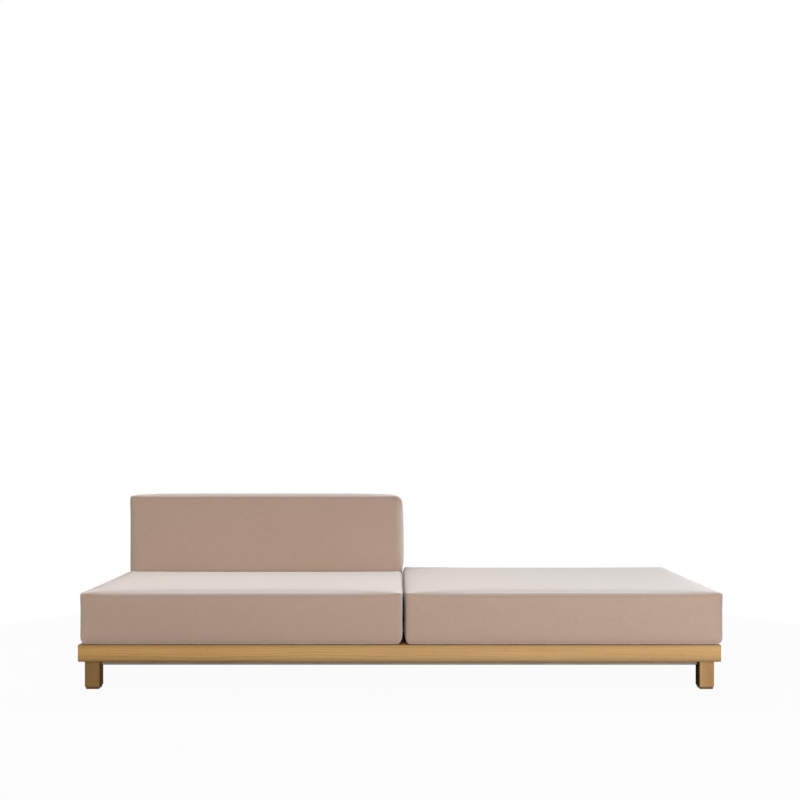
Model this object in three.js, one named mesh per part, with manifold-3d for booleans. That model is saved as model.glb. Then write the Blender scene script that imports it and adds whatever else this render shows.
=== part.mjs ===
// Low platform divan: a timber frame on four short legs, a slatted deck, two loose seat cushions
// and one half-length back cushion that leans on a low back frame.
// Millimetres, +Z up, the front faces -Y. The origin lies on the floor under the middle of the part.
import * as THREE from "three";
import { mergeVertices } from "three/addons/utils/BufferGeometryUtils.js";
import Module from "manifold-3d";

const wasm = await Module();
wasm.setup();

// Platform
const frameLength = 2000;
const frameDepth = 800;
const clearHeight = 87; // floor to the underside of the rails
const railHeight = 52;
const railThickness = 28;
const railCornerRadius = 8; // upright corners at the four corners of the platform
const boardCornerRadius = 3; // the other corners of a board's outline
const easing = 2; // rounding of a board's long edges
const fitGap = 0.3; // between pieces that touch
const overrun = 4; // how far a cut runs past the face that it opens
const roundSides = 12; // facets of a screw, a pin or a hole

// Mortise and tenon joints of the rails
const tenonThickness = 10;
const tenonLength = 18;
const tenonShoulder = 9; // rail left above and below a tenon
const mortiseRoom = 1; // free depth past the end of a tenon

// Legs and what fixes them
const legWidth = 47;
const legInset = 20; // from the ends of the frame
const legSetback = 10; // from the front and rear faces of the frame
const legCornerRadius = 4;
const legScrewAcrossShares = [0.3, 0.7]; // of the tongue's width, one for each screw
const legScrewUpShares = [0.34, 0.68]; // of the tongue's height, one for each screw
const screwShankRadius = 4;
const screwThreadRadius = 3.4;
const screwThreadLength = 18;
const screwTipLength = 5;
const screwFlangeRadius = 7.5;
const screwFlangeThickness = 2;
const screwHeadRadius = 5.8; // over the corners of the hexagon
const screwHeadHeight = 5;
const counterboreRoom = 1;
const glideMargin = 2.5; // leg left bare round a glide
const glideThickness = 6;
const glideCornerRadius = 4;
const glideEasing = 1;
const glidePinRadius = 3;
const glidePinLength = 14;

// Deck
const slatCount = 18;
const slatWidth = 90;
const slatThickness = 15;
const slatEndGap = 2; // from the end of a slat to the rail
const bearerHeight = 51;
const bearerThickness = 30;
const centreBearerThickness = 40;
const stubTenonShoulder = 6;
const stubTenonLength = 14;

// Back frame, on top of the rear rail
const backFrameHeight = 340; // above the deck
const backPostWidth = 50;
const backPostThickness = 24;
const backPostTopRadius = 10;
const backPostInset = 70; // from the ends of the back cushion
const backPostTenonLength = 32;
const backPostTenonShoulder = 8;
const backPostTenonThickness = 12;
const backRailThickness = 20;
const backRailTenonThickness = 10;
const backRailTenonLength = 24;
const backRailTenonShoulder = 10;
const backTopRailHeight = 64;
const backTopRailDrop = 14; // from the posts' top to the rail's top
const backLowRailHeight = 46;
const backLowRailDrop = 190;

// Seat cushions
const leftSeatWidth = 1002.5;
const seatThickness = 161;
const seatCrown = 4;
const seatBulge = 3; // how far a side stands out at half height
const seatDrawIn = 2.5; // how far a top seam draws in between its corners
const seatStartInset = 4; // from the frame's left end to the left seat's left side
const seatEndOverhang = 8.5; // from the frame's right end out to the right seat's right side
const seatFrontInset = 0;
const seatGap = 12; // between the two seat cushions at their seams
const seatTopRadius = 16;
const seatPlanRadius = 22;

// Back cushion
const backCushionThickness = 116;
const backCushionHeight = 438;
const backCushionCrown = 5;
const backCushionFrontBulge = 6;
const backCushionEndBulge = 2;
const backCushionDrawIn = 3;
const backCushionStartInset = 2; // from the frame's left end
const backCushionEndOverhang = 5.5; // from the left seat's right side out to the back cushion's
const backCushionTopRadius = 20;
const seatToBackGap = 2; // from the left seat to the fullest part of the back cushion

// What all cushions share
const restGap = 0.3; // under a cushion, and behind the back cushion
const cushionBottomRadius = 19;
const coverWall = 3; // cover fabric with its quilted lining
const foamGap = 0.5; // between the lining and the foam
const filletSteps = 3; // an odd number, so that the middle facet of the bottom edge is flat at 45 degrees

// Zip, sewn into the rear bottom edge of each cover
const zipEndInset = 150; // from the zip's ends to the cushion's ends
const zipTapeWidth = 8.4;
const zipTapeThickness = 1.6;
const zipTapeRecess = 0.3;
const zipRidgeWidth = 3; // the closed coil
const zipRidgeHeight = 1.2;
const zipStopLength = 4;
const zipStopWidth = 5;
const zipStopHeight = 1.7;
const zipSliderLength = 10;
const zipSliderWidth = 7;
const zipSliderHeight = 2.6;
const zipRunningGap = 0.3; // between the slider and the tape, coil and stops
const zipBridgeLength = 4;
const zipPullLength = 20;
const zipPullWidth = 5;
const zipPullThickness = 1;
const zipPullJoin = 0.2; // how deep the pull is let into the slider

// Derived levels and places
const deckTop = clearHeight + railHeight;
const bearerTop = deckTop - slatThickness - fitGap;
const railInnerX = frameLength / 2 - railThickness;
const railInnerY = frameDepth / 2 - railThickness;
const railCentreY = frameDepth / 2 - railThickness / 2;
const railCentreX = frameLength / 2 - railThickness / 2;
const legCentreX = frameLength / 2 - legInset - legWidth / 2;
const legCentreY = frameDepth / 2 - legSetback - legWidth / 2;
const legTongueX = legInset + legWidth / 2 - railThickness - fitGap; // outer faces of the leg's upper part,
const legTongueY = legSetback + legWidth / 2 - railThickness - fitGap; // from the leg's centre
const shoulderHeight = clearHeight - fitGap;
const screwSeatDepth = screwHeadHeight + screwFlangeThickness + counterboreRoom;
const rightSeatStart = seatStartInset + leftSeatWidth + seatGap; // from the frame's left end
const rightSeatWidth = frameLength + seatEndOverhang - rightSeatStart;
const backCushionWidth = seatStartInset + leftSeatWidth + backCushionEndOverhang - backCushionStartInset;
const backRails = [
  { name: "back_frame_top_rail", height: backTopRailHeight, below: backTopRailDrop },
  { name: "back_frame_low_rail", height: backLowRailHeight, below: backLowRailDrop },
];

const corners = [
  { name: "front_left", x: -1, y: -1 },
  { name: "front_right", x: 1, y: -1 },
  { name: "rear_left", x: -1, y: 1 },
  { name: "rear_right", x: 1, y: 1 },
];

// Materials
const timber = () => new THREE.MeshStandardMaterial({ color: 0xb8925f, roughness: 0.6, metalness: 0 });
const steel = () => new THREE.MeshStandardMaterial({ color: 0x9a9a98, roughness: 0.4, metalness: 1 });
const darkPlastic = () => new THREE.MeshStandardMaterial({ color: 0x4a3a2c, roughness: 0.7, metalness: 0 });
const fabric = () => new THREE.MeshStandardMaterial({ color: 0xc4aea1, roughness: 0.95, metalness: 0 });
const foam = () => new THREE.MeshStandardMaterial({ color: 0xe8e2cf, roughness: 1, metalness: 0 });
const zipPlastic = () => new THREE.MeshStandardMaterial({ color: 0xa8927f, roughness: 0.55, metalness: 0 });

// Solids and booleans

function solidOf(geometry) {
  const bare = geometry.clone();
  bare.deleteAttribute("normal");
  bare.deleteAttribute("uv");
  const merged = mergeVertices(bare);
  return new wasm.Manifold(
    new wasm.Mesh({
      numProp: 3,
      vertProperties: merged.attributes.position.array,
      triVerts: new Uint32Array(merged.index.array),
    }),
  );
}

function geometryOf(solid) {
  const mesh = solid.getMesh();
  const geometry = new THREE.BufferGeometry();
  geometry.setAttribute("position", new THREE.BufferAttribute(mesh.vertProperties, 3));
  geometry.setIndex(new THREE.BufferAttribute(mesh.triVerts, 1));
  geometry.computeVertexNormals();
  return geometry;
}

function cut(geometry, ...tools) {
  return geometryOf(tools.reduce((rest, tool) => rest.subtract(solidOf(tool)), solidOf(geometry)));
}

function join(geometry, ...others) {
  return geometryOf(others.reduce((whole, other) => whole.add(solidOf(other)), solidOf(geometry)));
}

// A box between any two opposite corners.
function block(one, other) {
  const box = new THREE.BoxGeometry(...one.map((value, i) => Math.abs(other[i] - value)));
  return box.translate(...one.map((value, i) => (value + other[i]) / 2));
}

// A round bar from one point to another, with its end faces square to it.
function bar(from, to, radius) {
  const start = new THREE.Vector3(...from);
  const run = new THREE.Vector3(...to).sub(start);
  const cylinder = new THREE.CylinderGeometry(radius, radius, run.length(), roundSides);
  cylinder.rotateX(Math.PI / 2).translate(0, 0, run.length() / 2);
  const turn = new THREE.Quaternion().setFromUnitVectors(new THREE.Vector3(0, 0, 1), run.normalize());
  return cylinder.applyQuaternion(turn).translate(...from);
}

// Boards: an outline with rounded corners, extruded upwards with eased edges

// A rectangle centred on the origin, with one radius for the corners on +Y and one for those on -Y.
function roundedRectangle(width, depth, radiusBack, radiusFront) {
  const x = width / 2;
  const y = depth / 2;
  const shape = new THREE.Shape();
  shape.absarc(x - radiusBack, y - radiusBack, radiusBack, 0, Math.PI / 2);
  shape.absarc(radiusBack - x, y - radiusBack, radiusBack, Math.PI / 2, Math.PI);
  shape.absarc(radiusFront - x, radiusFront - y, radiusFront, Math.PI, Math.PI * 1.5);
  shape.absarc(x - radiusFront, radiusFront - y, radiusFront, Math.PI * 1.5, Math.PI * 2);
  return shape;
}

// An outline in X and Y, extruded along Z with its end edges rounded, and centred in Z.
function easedExtrusion(shape, height, edge, curveSegments, bevelSegments = 1) {
  const geometry = new THREE.ExtrudeGeometry(shape, {
    depth: height - edge * 2,
    bevelThickness: edge,
    bevelSize: edge,
    bevelOffset: -edge,
    bevelSegments,
    curveSegments,
  });
  return geometry.translate(0, 0, edge - height / 2);
}

// A plain board, its corners and edges eased by one facet each.
function board(width, depth, height) {
  const outline = roundedRectangle(width, depth, boardCornerRadius, boardCornerRadius);
  return easedExtrusion(outline, height, easing, 1);
}

// The part: every piece is added to the group of the thing that it belongs to

const divan = new THREE.Group();
divan.position.x = -Math.max(0, seatEndOverhang + seatBulge) / 2; // centres the part with its overhang

function addPiece(parent, name, geometry, material, x = 0, y = 0, z = 0) {
  const mesh = new THREE.Mesh(geometry, material);
  mesh.name = name;
  mesh.position.set(x, y, z);
  parent.add(mesh);
  return mesh;
}

// Screw places in a leg, from the leg's centre: each screw crosses the tongue behind the rail.
// The signs are those of the leg's corner.
function legScrewPlaces(corner) {
  const across = legTongueX + legWidth / 2;
  const up = bearerTop - shoulderHeight;
  return legScrewAcrossShares.map((share, i) => ({
    x: corner.x * (share * across - legWidth / 2),
    z: shoulderHeight + legScrewUpShares[i] * up,
  }));
}

// Front and rear rails. Side is -1 for the front and 1 for the rear.
function longRail(side) {
  const radii = side > 0 ? [railCornerRadius, boardCornerRadius] : [boardCornerRadius, railCornerRadius];
  const outline = roundedRectangle(frameLength, railThickness, ...radii);
  const inner = (-side * railThickness) / 2;
  const half = tenonThickness / 2 + fitGap;
  const mortiseTop = railHeight / 2 - tenonShoulder + fitGap;
  const mortiseFloor = inner + side * (tenonLength + mortiseRoom);
  const tools = [-1, 1].map((end) => {
    const x = end * railCentreX;
    return block([x - half, inner - side * overrun, -mortiseTop], [x + half, mortiseFloor, mortiseTop]);
  });
  for (const corner of corners.filter((one) => one.y === side)) {
    for (const place of legScrewPlaces(corner)) {
      const x = corner.x * legCentreX + place.x;
      const z = place.z - clearHeight - railHeight / 2;
      const mouth = [x, inner - side * overrun, z];
      const end = [x, inner + side * (screwThreadLength + mortiseRoom), z];
      tools.push(bar(mouth, end, screwThreadRadius + fitGap));
    }
  }
  return cut(easedExtrusion(outline, railHeight, easing, 3, 2), ...tools);
}

const frame = new THREE.Group();
divan.add(frame);

const railZ = clearHeight + railHeight / 2;
addPiece(frame, "front_rail", longRail(-1), timber(), 0, -railCentreY, railZ);

// Back frame places, from the frame's centre
const backCushionLeft = backCushionStartInset - frameLength / 2;
const backPostPlaces = [
  { name: "left", x: backCushionLeft + backPostInset + backPostWidth / 2 },
  { name: "right", x: backCushionLeft + backCushionWidth - backPostInset - backPostWidth / 2 },
];
const postMortises = backPostPlaces.map((post) => {
  const halfX = backPostWidth / 2 - backPostTenonShoulder + fitGap;
  const halfY = backPostTenonThickness / 2 + fitGap;
  const floor = railHeight / 2 - backPostTenonLength - mortiseRoom;
  return block([post.x - halfX, -halfY, floor], [post.x + halfX, halfY, railHeight / 2 + overrun]);
});
addPiece(frame, "rear_rail", cut(longRail(1), ...postMortises), timber(), 0, railCentreY, railZ);

// End rails, tenoned into the long rails, with a mortise for the centre bearer.
// Side is -1 for the left and 1 for the right.
const stubTenonTop = bearerTop - stubTenonShoulder;
const stubTenonFloor = clearHeight + stubTenonShoulder;
const stubTenonHalf = centreBearerThickness / 2 - stubTenonShoulder;

function endRail(side) {
  const length = (railInnerY - fitGap) * 2;
  const halfTenon = tenonThickness / 2;
  const tenonZ = railHeight / 2 - tenonShoulder;
  const tenons = block(
    [-halfTenon, -length / 2 - tenonLength, -tenonZ],
    [halfTenon, length / 2 + tenonLength, tenonZ],
  );
  const inner = (-side * railThickness) / 2;
  const mortise = block(
    [inner - side * overrun, -stubTenonHalf - fitGap, stubTenonFloor - fitGap - railZ],
    [inner + side * (stubTenonLength + mortiseRoom), stubTenonHalf + fitGap, stubTenonTop + fitGap - railZ],
  );
  return cut(join(board(railThickness, length, railHeight), tenons), mortise);
}

addPiece(frame, "left_end_rail", endRail(-1), timber(), -railCentreX, 0, railZ);
addPiece(frame, "right_end_rail", endRail(1), timber(), railCentreX, 0, railZ);

// Legs: square posts whose upper part is rebated to a tongue in the corner behind the rails,
// so that the rails stand on the two shoulders.
function leg(corner) {
  const foot = glideThickness + fitGap;
  const height = bearerTop - foot;
  const outline = roundedRectangle(legWidth, legWidth, legCornerRadius, legCornerRadius);
  const post = easedExtrusion(outline, height, easing, 2).translate(0, 0, foot + height / 2);
  const reach = legWidth + overrun;
  const top = bearerTop + overrun;
  const inner = (-corner.y * legWidth) / 2;
  const tools = [
    block([corner.x * legTongueX, -reach, shoulderHeight], [corner.x * reach, reach, top]),
    block([-reach, corner.y * legTongueY, shoulderHeight], [reach, corner.y * reach, top]),
    bar([0, 0, foot - overrun], [0, 0, foot + glidePinLength + mortiseRoom], glidePinRadius + fitGap),
  ];
  for (const { x, z } of legScrewPlaces(corner)) {
    const seat = inner + corner.y * screwSeatDepth;
    const outside = inner - corner.y * overrun;
    tools.push(bar([x, outside, z], [x, seat, z], screwFlangeRadius + fitGap));
    tools.push(bar([x, outside, z], [x, corner.y * reach, z], screwShankRadius + fitGap));
  }
  return cut(post, ...tools);
}

// Coach screw, its tip at the far end of +Z and the face of its flange at the origin.
function coachScrew() {
  const shank = legTongueY + legWidth / 2 - screwSeatDepth;
  const end = shank + fitGap + screwThreadLength;
  const profile = [
    [0, -screwFlangeThickness],
    [screwFlangeRadius, -screwFlangeThickness],
    [screwFlangeRadius, 0],
    [screwShankRadius, 0],
    [screwShankRadius, shank],
    [screwThreadRadius, shank],
    [screwThreadRadius, end - screwTipLength],
    [0, end],
  ].map(([r, z]) => new THREE.Vector2(r, z));
  const stem = new THREE.LatheGeometry(profile, roundSides).rotateX(Math.PI / 2);
  const headTop = screwFlangeThickness + screwHeadHeight;
  const head = new THREE.CylinderGeometry(screwHeadRadius, screwHeadRadius, headTop, 6);
  return join(stem, head.rotateX(Math.PI / 2).translate(0, 0, -headTop / 2));
}

// Glide: a square plastic pad with a pin that is pressed into the end grain.
function glide() {
  const side = legWidth - glideMargin * 2;
  const outline = roundedRectangle(side, side, glideCornerRadius, glideCornerRadius);
  const pad = easedExtrusion(outline, glideThickness, glideEasing, 2).translate(0, 0, glideThickness / 2);
  const pin = bar([0, 0, glideThickness / 2], [0, 0, glideThickness + glidePinLength], glidePinRadius);
  return join(pad, pin);
}

for (const corner of corners) {
  const x = corner.x * legCentreX;
  const y = corner.y * legCentreY;
  addPiece(frame, `${corner.name}_leg`, leg(corner), timber(), x, y, 0);
  addPiece(frame, `${corner.name}_glide`, glide(), darkPlastic(), x, y, 0);
  legScrewPlaces(corner).forEach((place, i) => {
    const seatY = y + corner.y * (screwSeatDepth - legWidth / 2 - fitGap);
    const name = `${corner.name}_leg_screw_${i + 1}`;
    const screw = addPiece(frame, name, coachScrew(), steel(), x + place.x, seatY, place.z);
    screw.rotation.x = (-corner.y * Math.PI) / 2;
  });
}

// Deck: two bearers along the long rails, one along the middle, and slats across all three.
const deck = new THREE.Group();
divan.add(deck);

const bearerLength = (legCentreX - legWidth / 2 - fitGap) * 2;
const bearerY = railInnerY - fitGap - bearerThickness / 2;
const bearerZ = bearerTop - bearerHeight / 2;
for (const [name, side] of [["front_bearer", -1], ["rear_bearer", 1]]) {
  const geometry = board(bearerLength, bearerThickness, bearerHeight);
  addPiece(deck, name, geometry, timber(), 0, side * bearerY, bearerZ);
}

function centreBearer() {
  const length = (railInnerX - fitGap) * 2;
  const beam = board(length, centreBearerThickness, bearerHeight);
  const tenons = block(
    [-length / 2 - stubTenonLength, -stubTenonHalf, stubTenonFloor - bearerZ],
    [length / 2 + stubTenonLength, stubTenonHalf, stubTenonTop - bearerZ],
  );
  return join(beam, tenons);
}
addPiece(deck, "centre_bearer", centreBearer(), timber(), 0, 0, bearerZ);

const slatGap = (railInnerX * 2 - slatCount * slatWidth) / (slatCount + 1);
const slatLength = (railInnerY - slatEndGap) * 2;
for (let i = 0; i < slatCount; i++) {
  const x = -railInnerX + slatGap + slatWidth / 2 + i * (slatWidth + slatGap);
  const name = `slat_${String(i + 1).padStart(2, "0")}`;
  const geometry = board(slatWidth, slatLength, slatThickness);
  addPiece(deck, name, geometry, timber(), x, 0, deckTop - slatThickness / 2);
}

// Back frame: two posts tenoned into the rear rail, and two rails tenoned between them.
const backFrame = new THREE.Group();
backFrame.position.set(0, railCentreY, deckTop);
divan.add(backFrame);

const backRailSpan = backPostPlaces[1].x - backPostPlaces[0].x - backPostWidth;

function backPost(innerSide) {
  const height = backFrameHeight - fitGap;
  const outline = roundedRectangle(backPostWidth, height, backPostTopRadius, boardCornerRadius);
  const post = easedExtrusion(outline, backPostThickness, easing, 2);
  post.rotateX(Math.PI / 2).translate(0, 0, fitGap + height / 2);
  const halfX = backPostWidth / 2 - backPostTenonShoulder;
  const halfY = backPostTenonThickness / 2;
  const tenon = block([-halfX, -halfY, -backPostTenonLength], [halfX, halfY, fitGap + easing]);
  const mortises = backRails.map(({ height: railDepth, below }) => {
    const high = backFrameHeight - below - backRailTenonShoulder + fitGap;
    const low = backFrameHeight - below - railDepth + backRailTenonShoulder - fitGap;
    const mouth = innerSide * (backPostWidth / 2 + overrun);
    const floor = innerSide * (backPostWidth / 2 - backRailTenonLength - mortiseRoom);
    const half = backRailTenonThickness / 2 + fitGap;
    return block([mouth, -half, low], [floor, half, high]);
  });
  return cut(join(post, tenon), ...mortises);
}

backPostPlaces.forEach((post, i) => {
  const innerSide = i === 0 ? 1 : -1;
  addPiece(backFrame, `back_frame_${post.name}_post`, backPost(innerSide), timber(), post.x, 0, 0);
});

for (const { name, height, below } of backRails) {
  const length = backRailSpan - fitGap * 2;
  const half = backRailTenonThickness / 2;
  const halfTenonHeight = height / 2 - backRailTenonShoulder;
  const tenons = block(
    [-length / 2 - backRailTenonLength, -half, -halfTenonHeight],
    [length / 2 + backRailTenonLength, half, halfTenonHeight],
  );
  const rail = join(board(length, backRailThickness, height), tenons);
  const x = (backPostPlaces[0].x + backPostPlaces[1].x) / 2;
  addPiece(backFrame, name, rail, timber(), x, 0, backFrameHeight - below - height / 2);
}

// Cushions: each is a loft of rounded outlines, from a flat bottom up over full sides to a crowned top

// The outline of one level, as points in order, each with its side and its share of the way along it.
function cushionOutline(width, depth, radius, steps) {
  const x = width / 2 - radius;
  const y = depth / 2 - radius;
  const sides = [
    { name: "end", count: steps.ends, centre: [x, y], from: [x + radius, -y], to: [x + radius, y] },
    { name: "rear", count: steps.long, centre: [-x, y], from: [x, y + radius], to: [-x, y + radius] },
    { name: "end", count: steps.ends, centre: [-x, -y], from: [-x - radius, y], to: [-x - radius, -y] },
    { name: "front", count: steps.long, centre: [x, -y], from: [-x, -y - radius], to: [x, -y - radius] },
  ];
  const points = [];
  sides.forEach(({ name, count, centre, from, to }, i) => {
    const out = i * (Math.PI / 2);
    for (let k = 1; k < count; k++) {
      const share = k / count;
      const place = from.map((value, axis) => value + (to[axis] - value) * share);
      points.push({ place, out: [Math.cos(out), Math.sin(out)], side: name, share });
    }
    for (let k = 0; k <= filletSteps; k++) {
      const angle = out + (k / filletSteps) * (Math.PI / 2);
      const way = [Math.cos(angle), Math.sin(angle)];
      const place = centre.map((value, axis) => value + radius * way[axis]);
      points.push({ place, out: way, side: "corner", share: 0 });
    }
  });
  return points;
}

// How full a curve is at a share of its length: nothing at its ends, all of it in the middle.
const fullness = (share, power) => 1 - Math.abs(share * 2 - 1) ** power;
const bulgePower = 4;
const drawInPower = 2;

// The levels of a cushion: how far each outline lies inside the full one, its height,
// and how much of the bulge and of the draw-in it has.
function cushionLevels(size, steps) {
  const { height, topRadius, bottomRadius } = size;
  const levels = [];
  for (let k = 0; k <= filletSteps; k++) {
    const angle = (k / filletSteps) * (Math.PI / 2);
    const z = bottomRadius * (1 - Math.cos(angle));
    levels.push({ inset: bottomRadius * (1 - Math.sin(angle)), z, bulge: 0, drawIn: 0 });
  }
  const sideHeight = height - topRadius - bottomRadius;
  for (let k = 1; k < steps.up; k++) {
    const share = k / steps.up;
    const z = bottomRadius + sideHeight * share;
    levels.push({ inset: 0, z, bulge: Math.sin(Math.PI * share), drawIn: share * share });
  }
  for (let k = 0; k <= filletSteps; k++) {
    const angle = (k / filletSteps) * (Math.PI / 2);
    const z = height - topRadius * (1 - Math.sin(angle));
    levels.push({ inset: topRadius * (1 - Math.cos(angle)), z, bulge: 0, drawIn: 1 });
  }
  return levels;
}

// A cushion's skin, its bottom centre at the origin. Each level is one ring of vertices, and the crown
// is made of smaller copies of the top ring.
function cushionSkin(size, steps) {
  const { width, depth, planRadius, crown, bulge, drawIn, height, topRadius } = size;
  const positions = [];
  const rings = [];
  const addRing = (points) => {
    rings.push(positions.length / 3);
    points.forEach((point) => positions.push(...point));
  };
  let topRing = [];
  for (const level of cushionLevels(size, steps)) {
    const inset = level.inset * 2;
    const outline = cushionOutline(width - inset, depth - inset, planRadius - level.inset, steps);
    topRing = outline.map(({ place, out, side, share }) => {
      const outward = side === "corner" ? 0 : bulge[side] * level.bulge * fullness(share, bulgePower);
      const inward = side === "corner" ? 0 : drawIn * level.drawIn * fullness(share, drawInPower);
      return [...place.map((value, axis) => value + out[axis] * (outward - inward)), level.z];
    });
    addRing(topRing);
  }
  const halfX = width / 2 - topRadius;
  const halfY = depth / 2 - topRadius;
  const crownAt = (x, y) => {
    const [acrossPower, alongPower] = size.crownPowers;
    const lengthways = Math.max(0, 1 - Math.abs(x / halfX) ** alongPower);
    const sideways = Math.max(0, 1 - Math.abs(y / halfY) ** acrossPower);
    return crown * lengthways * sideways;
  };
  for (const share of steps.crownShares) {
    addRing(topRing.map(([x, y]) => [x * share, y * share, height + crownAt(x * share, y * share)]));
  }
  const ringLength = topRing.length;
  const faces = [];
  for (let r = 1; r < rings.length; r++) {
    for (let k = 0; k < ringLength; k++) {
      const next = (k + 1) % ringLength;
      const [a, b] = [rings[r - 1] + k, rings[r - 1] + next];
      const [c, d] = [rings[r] + k, rings[r] + next];
      faces.push(a, b, d, a, d, c);
    }
  }
  const bottomCentre = positions.length / 3;
  positions.push(0, 0, 0, 0, 0, height + crown);
  for (let k = 0; k < ringLength; k++) {
    const next = (k + 1) % ringLength;
    const last = rings[rings.length - 1];
    faces.push(rings[0] + next, rings[0] + k, bottomCentre);
    faces.push(last + k, last + next, bottomCentre + 1);
  }
  const geometry = new THREE.BufferGeometry();
  geometry.setAttribute("position", new THREE.Float32BufferAttribute(positions, 3));
  geometry.setIndex(faces);
  return geometry;
}

// The same cushion, smaller by a wall all round.
function shrunk(size, wall) {
  return {
    ...size,
    width: size.width - wall * 2,
    depth: size.depth - wall * 2,
    height: size.height - wall * 2,
    planRadius: size.planRadius - wall,
    topRadius: size.topRadius - wall,
    bottomRadius: size.bottomRadius - wall,
  };
}

const coverSteps = { long: 8, ends: 6, up: 4, crownShares: [0.94, 0.84, 0.68, 0.4] };
const liningSteps = { long: 4, ends: 2, up: 2, crownShares: [0.84, 0.4] };

// The bottom edge's middle facet, where the zip lies: how far it is from the centre of the rounding
const zipFacetReach = cushionBottomRadius * Math.cos(Math.PI / 4 / filletSteps);
const zipTapeTop = zipFacetReach - zipTapeRecess;
const zipRidgeTop = zipTapeTop + zipRidgeHeight;

// A box on the zip's own axes: X along it and Z out of the cushion, centred in X and Y.
function zipBlock(length, width, low, high, x = 0) {
  return block([x - length / 2, -width / 2, low], [x + length / 2, width / 2, high]);
}

function zipTape(length) {
  const tape = zipBlock(length, zipTapeWidth, zipTapeTop - zipTapeThickness, zipTapeTop);
  const buried = zipTapeTop - zipTapeThickness / 2;
  const ridge = zipBlock(length - zipStopLength, zipRidgeWidth, buried, zipRidgeTop);
  const stopX = (length - zipStopLength) / 2;
  const stops = [-stopX, stopX].map((x) => {
    return zipBlock(zipStopLength, zipStopWidth, buried, zipTapeTop + zipStopHeight, x);
  });
  return join(tape, ridge, ...stops);
}

// The slider straddles the coil, and its pull lies flat along it.
function zipSlider() {
  const floor = zipTapeTop + zipRunningGap;
  const top = floor + zipSliderHeight;
  const body = zipBlock(zipSliderLength, zipSliderWidth, floor, top);
  const groove = zipBlock(
    zipSliderLength + overrun,
    zipRidgeWidth + zipRunningGap * 2,
    floor - overrun,
    zipRidgeTop + zipRunningGap,
  );
  const pullX = (zipPullLength - zipBridgeLength) / 2;
  const pull = zipBlock(zipPullLength, zipPullWidth, top - zipPullJoin, top + zipPullThickness, pullX);
  const hole = bar(
    [zipPullLength - zipBridgeLength - zipPullWidth / 2, 0, top - overrun],
    [zipPullLength - zipBridgeLength - zipPullWidth / 2, 0, top + overrun],
    zipPullWidth / 4,
  );
  return cut(join(body, pull), groove, hole);
}

// One cushion: cover, foam, zip and slider, with the cushion's bottom centre at the group's origin.
function addCushion(name, size, x, y) {
  const group = new THREE.Group();
  group.position.set(x, y, deckTop + restGap);
  divan.add(group);
  const zipLength = size.width - zipEndInset * 2;
  const onFacet = (geometry) => {
    geometry.rotateX(-Math.PI * 0.75);
    return geometry.translate(0, size.depth / 2 - cushionBottomRadius, cushionBottomRadius);
  };
  const slot = zipBlock(
    zipLength + fitGap * 2,
    zipTapeWidth + fitGap * 2,
    zipFacetReach - coverWall - overrun,
    zipFacetReach + overrun,
  );
  const hollow = cushionSkin(shrunk(size, coverWall), liningSteps).translate(0, 0, coverWall);
  const cover = cut(cushionSkin(size, coverSteps), hollow, onFacet(slot));
  addPiece(group, `${name}_cover`, cover, fabric());
  const foamInset = coverWall + foamGap;
  const core = cushionSkin(shrunk(size, foamInset), liningSteps);
  addPiece(group, `${name}_foam`, core, foam(), 0, 0, foamInset);
  addPiece(group, `${name}_zip`, onFacet(zipTape(zipLength)), zipPlastic());
  const parked = -zipLength / 2 + zipStopLength + zipRunningGap + zipSliderLength / 2;
  addPiece(group, `${name}_zip_slider`, onFacet(zipSlider()), steel(), parked);
}

const seatBase = {
  height: seatThickness,
  planRadius: seatPlanRadius,
  topRadius: seatTopRadius,
  bottomRadius: cushionBottomRadius,
  crown: seatCrown,
  crownPowers: [6, 6],
  drawIn: seatDrawIn,
};
const backRestFace = railCentreY - backPostThickness / 2;
const backCushionRear = backRestFace - restGap;
const seatFront = seatFrontInset - frameDepth / 2;
const leftSeatRear = backCushionRear - backCushionThickness - backCushionFrontBulge - seatToBackGap;
const leftSeatX = seatStartInset - frameLength / 2 + leftSeatWidth / 2;
addCushion(
  "left_seat",
  {
    ...seatBase,
    width: leftSeatWidth,
    depth: leftSeatRear - seatFront,
    bulge: { front: seatBulge, rear: 0, end: seatBulge },
  },
  leftSeatX,
  (leftSeatRear + seatFront) / 2,
);
addCushion(
  "right_seat",
  {
    ...seatBase,
    width: rightSeatWidth,
    depth: -seatFront * 2,
    bulge: { front: seatBulge, rear: seatBulge, end: seatBulge },
  },
  rightSeatStart + rightSeatWidth / 2 - frameLength / 2,
  0,
);
addCushion(
  "back_cushion",
  {
    width: backCushionWidth,
    depth: backCushionThickness,
    height: backCushionHeight,
    planRadius: seatPlanRadius,
    topRadius: backCushionTopRadius,
    bottomRadius: cushionBottomRadius,
    crown: backCushionCrown,
    crownPowers: [3, 6],
    bulge: { front: backCushionFrontBulge, rear: 0, end: backCushionEndBulge },
    drawIn: backCushionDrawIn,
  },
  backCushionLeft + backCushionWidth / 2,
  backCushionRear - backCushionThickness / 2,
);

export default divan;
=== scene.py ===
# %% [markdown]
# # A low timber divan with loose cushions
# The divan is a slatted timber platform on four short legs. Two box cushions lie on it side by side, and a
# half-length back cushion leans on a low frame behind the left one. The joinery comes in as a fixed frame
# of real pieces at their real size. This lesson adds what a joiner's drawing leaves out: light, grain,
# steel, and above all the upholstery, which is cut, sewn and filled here much as a workroom does it.

# %% Load the joinery
import math

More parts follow.
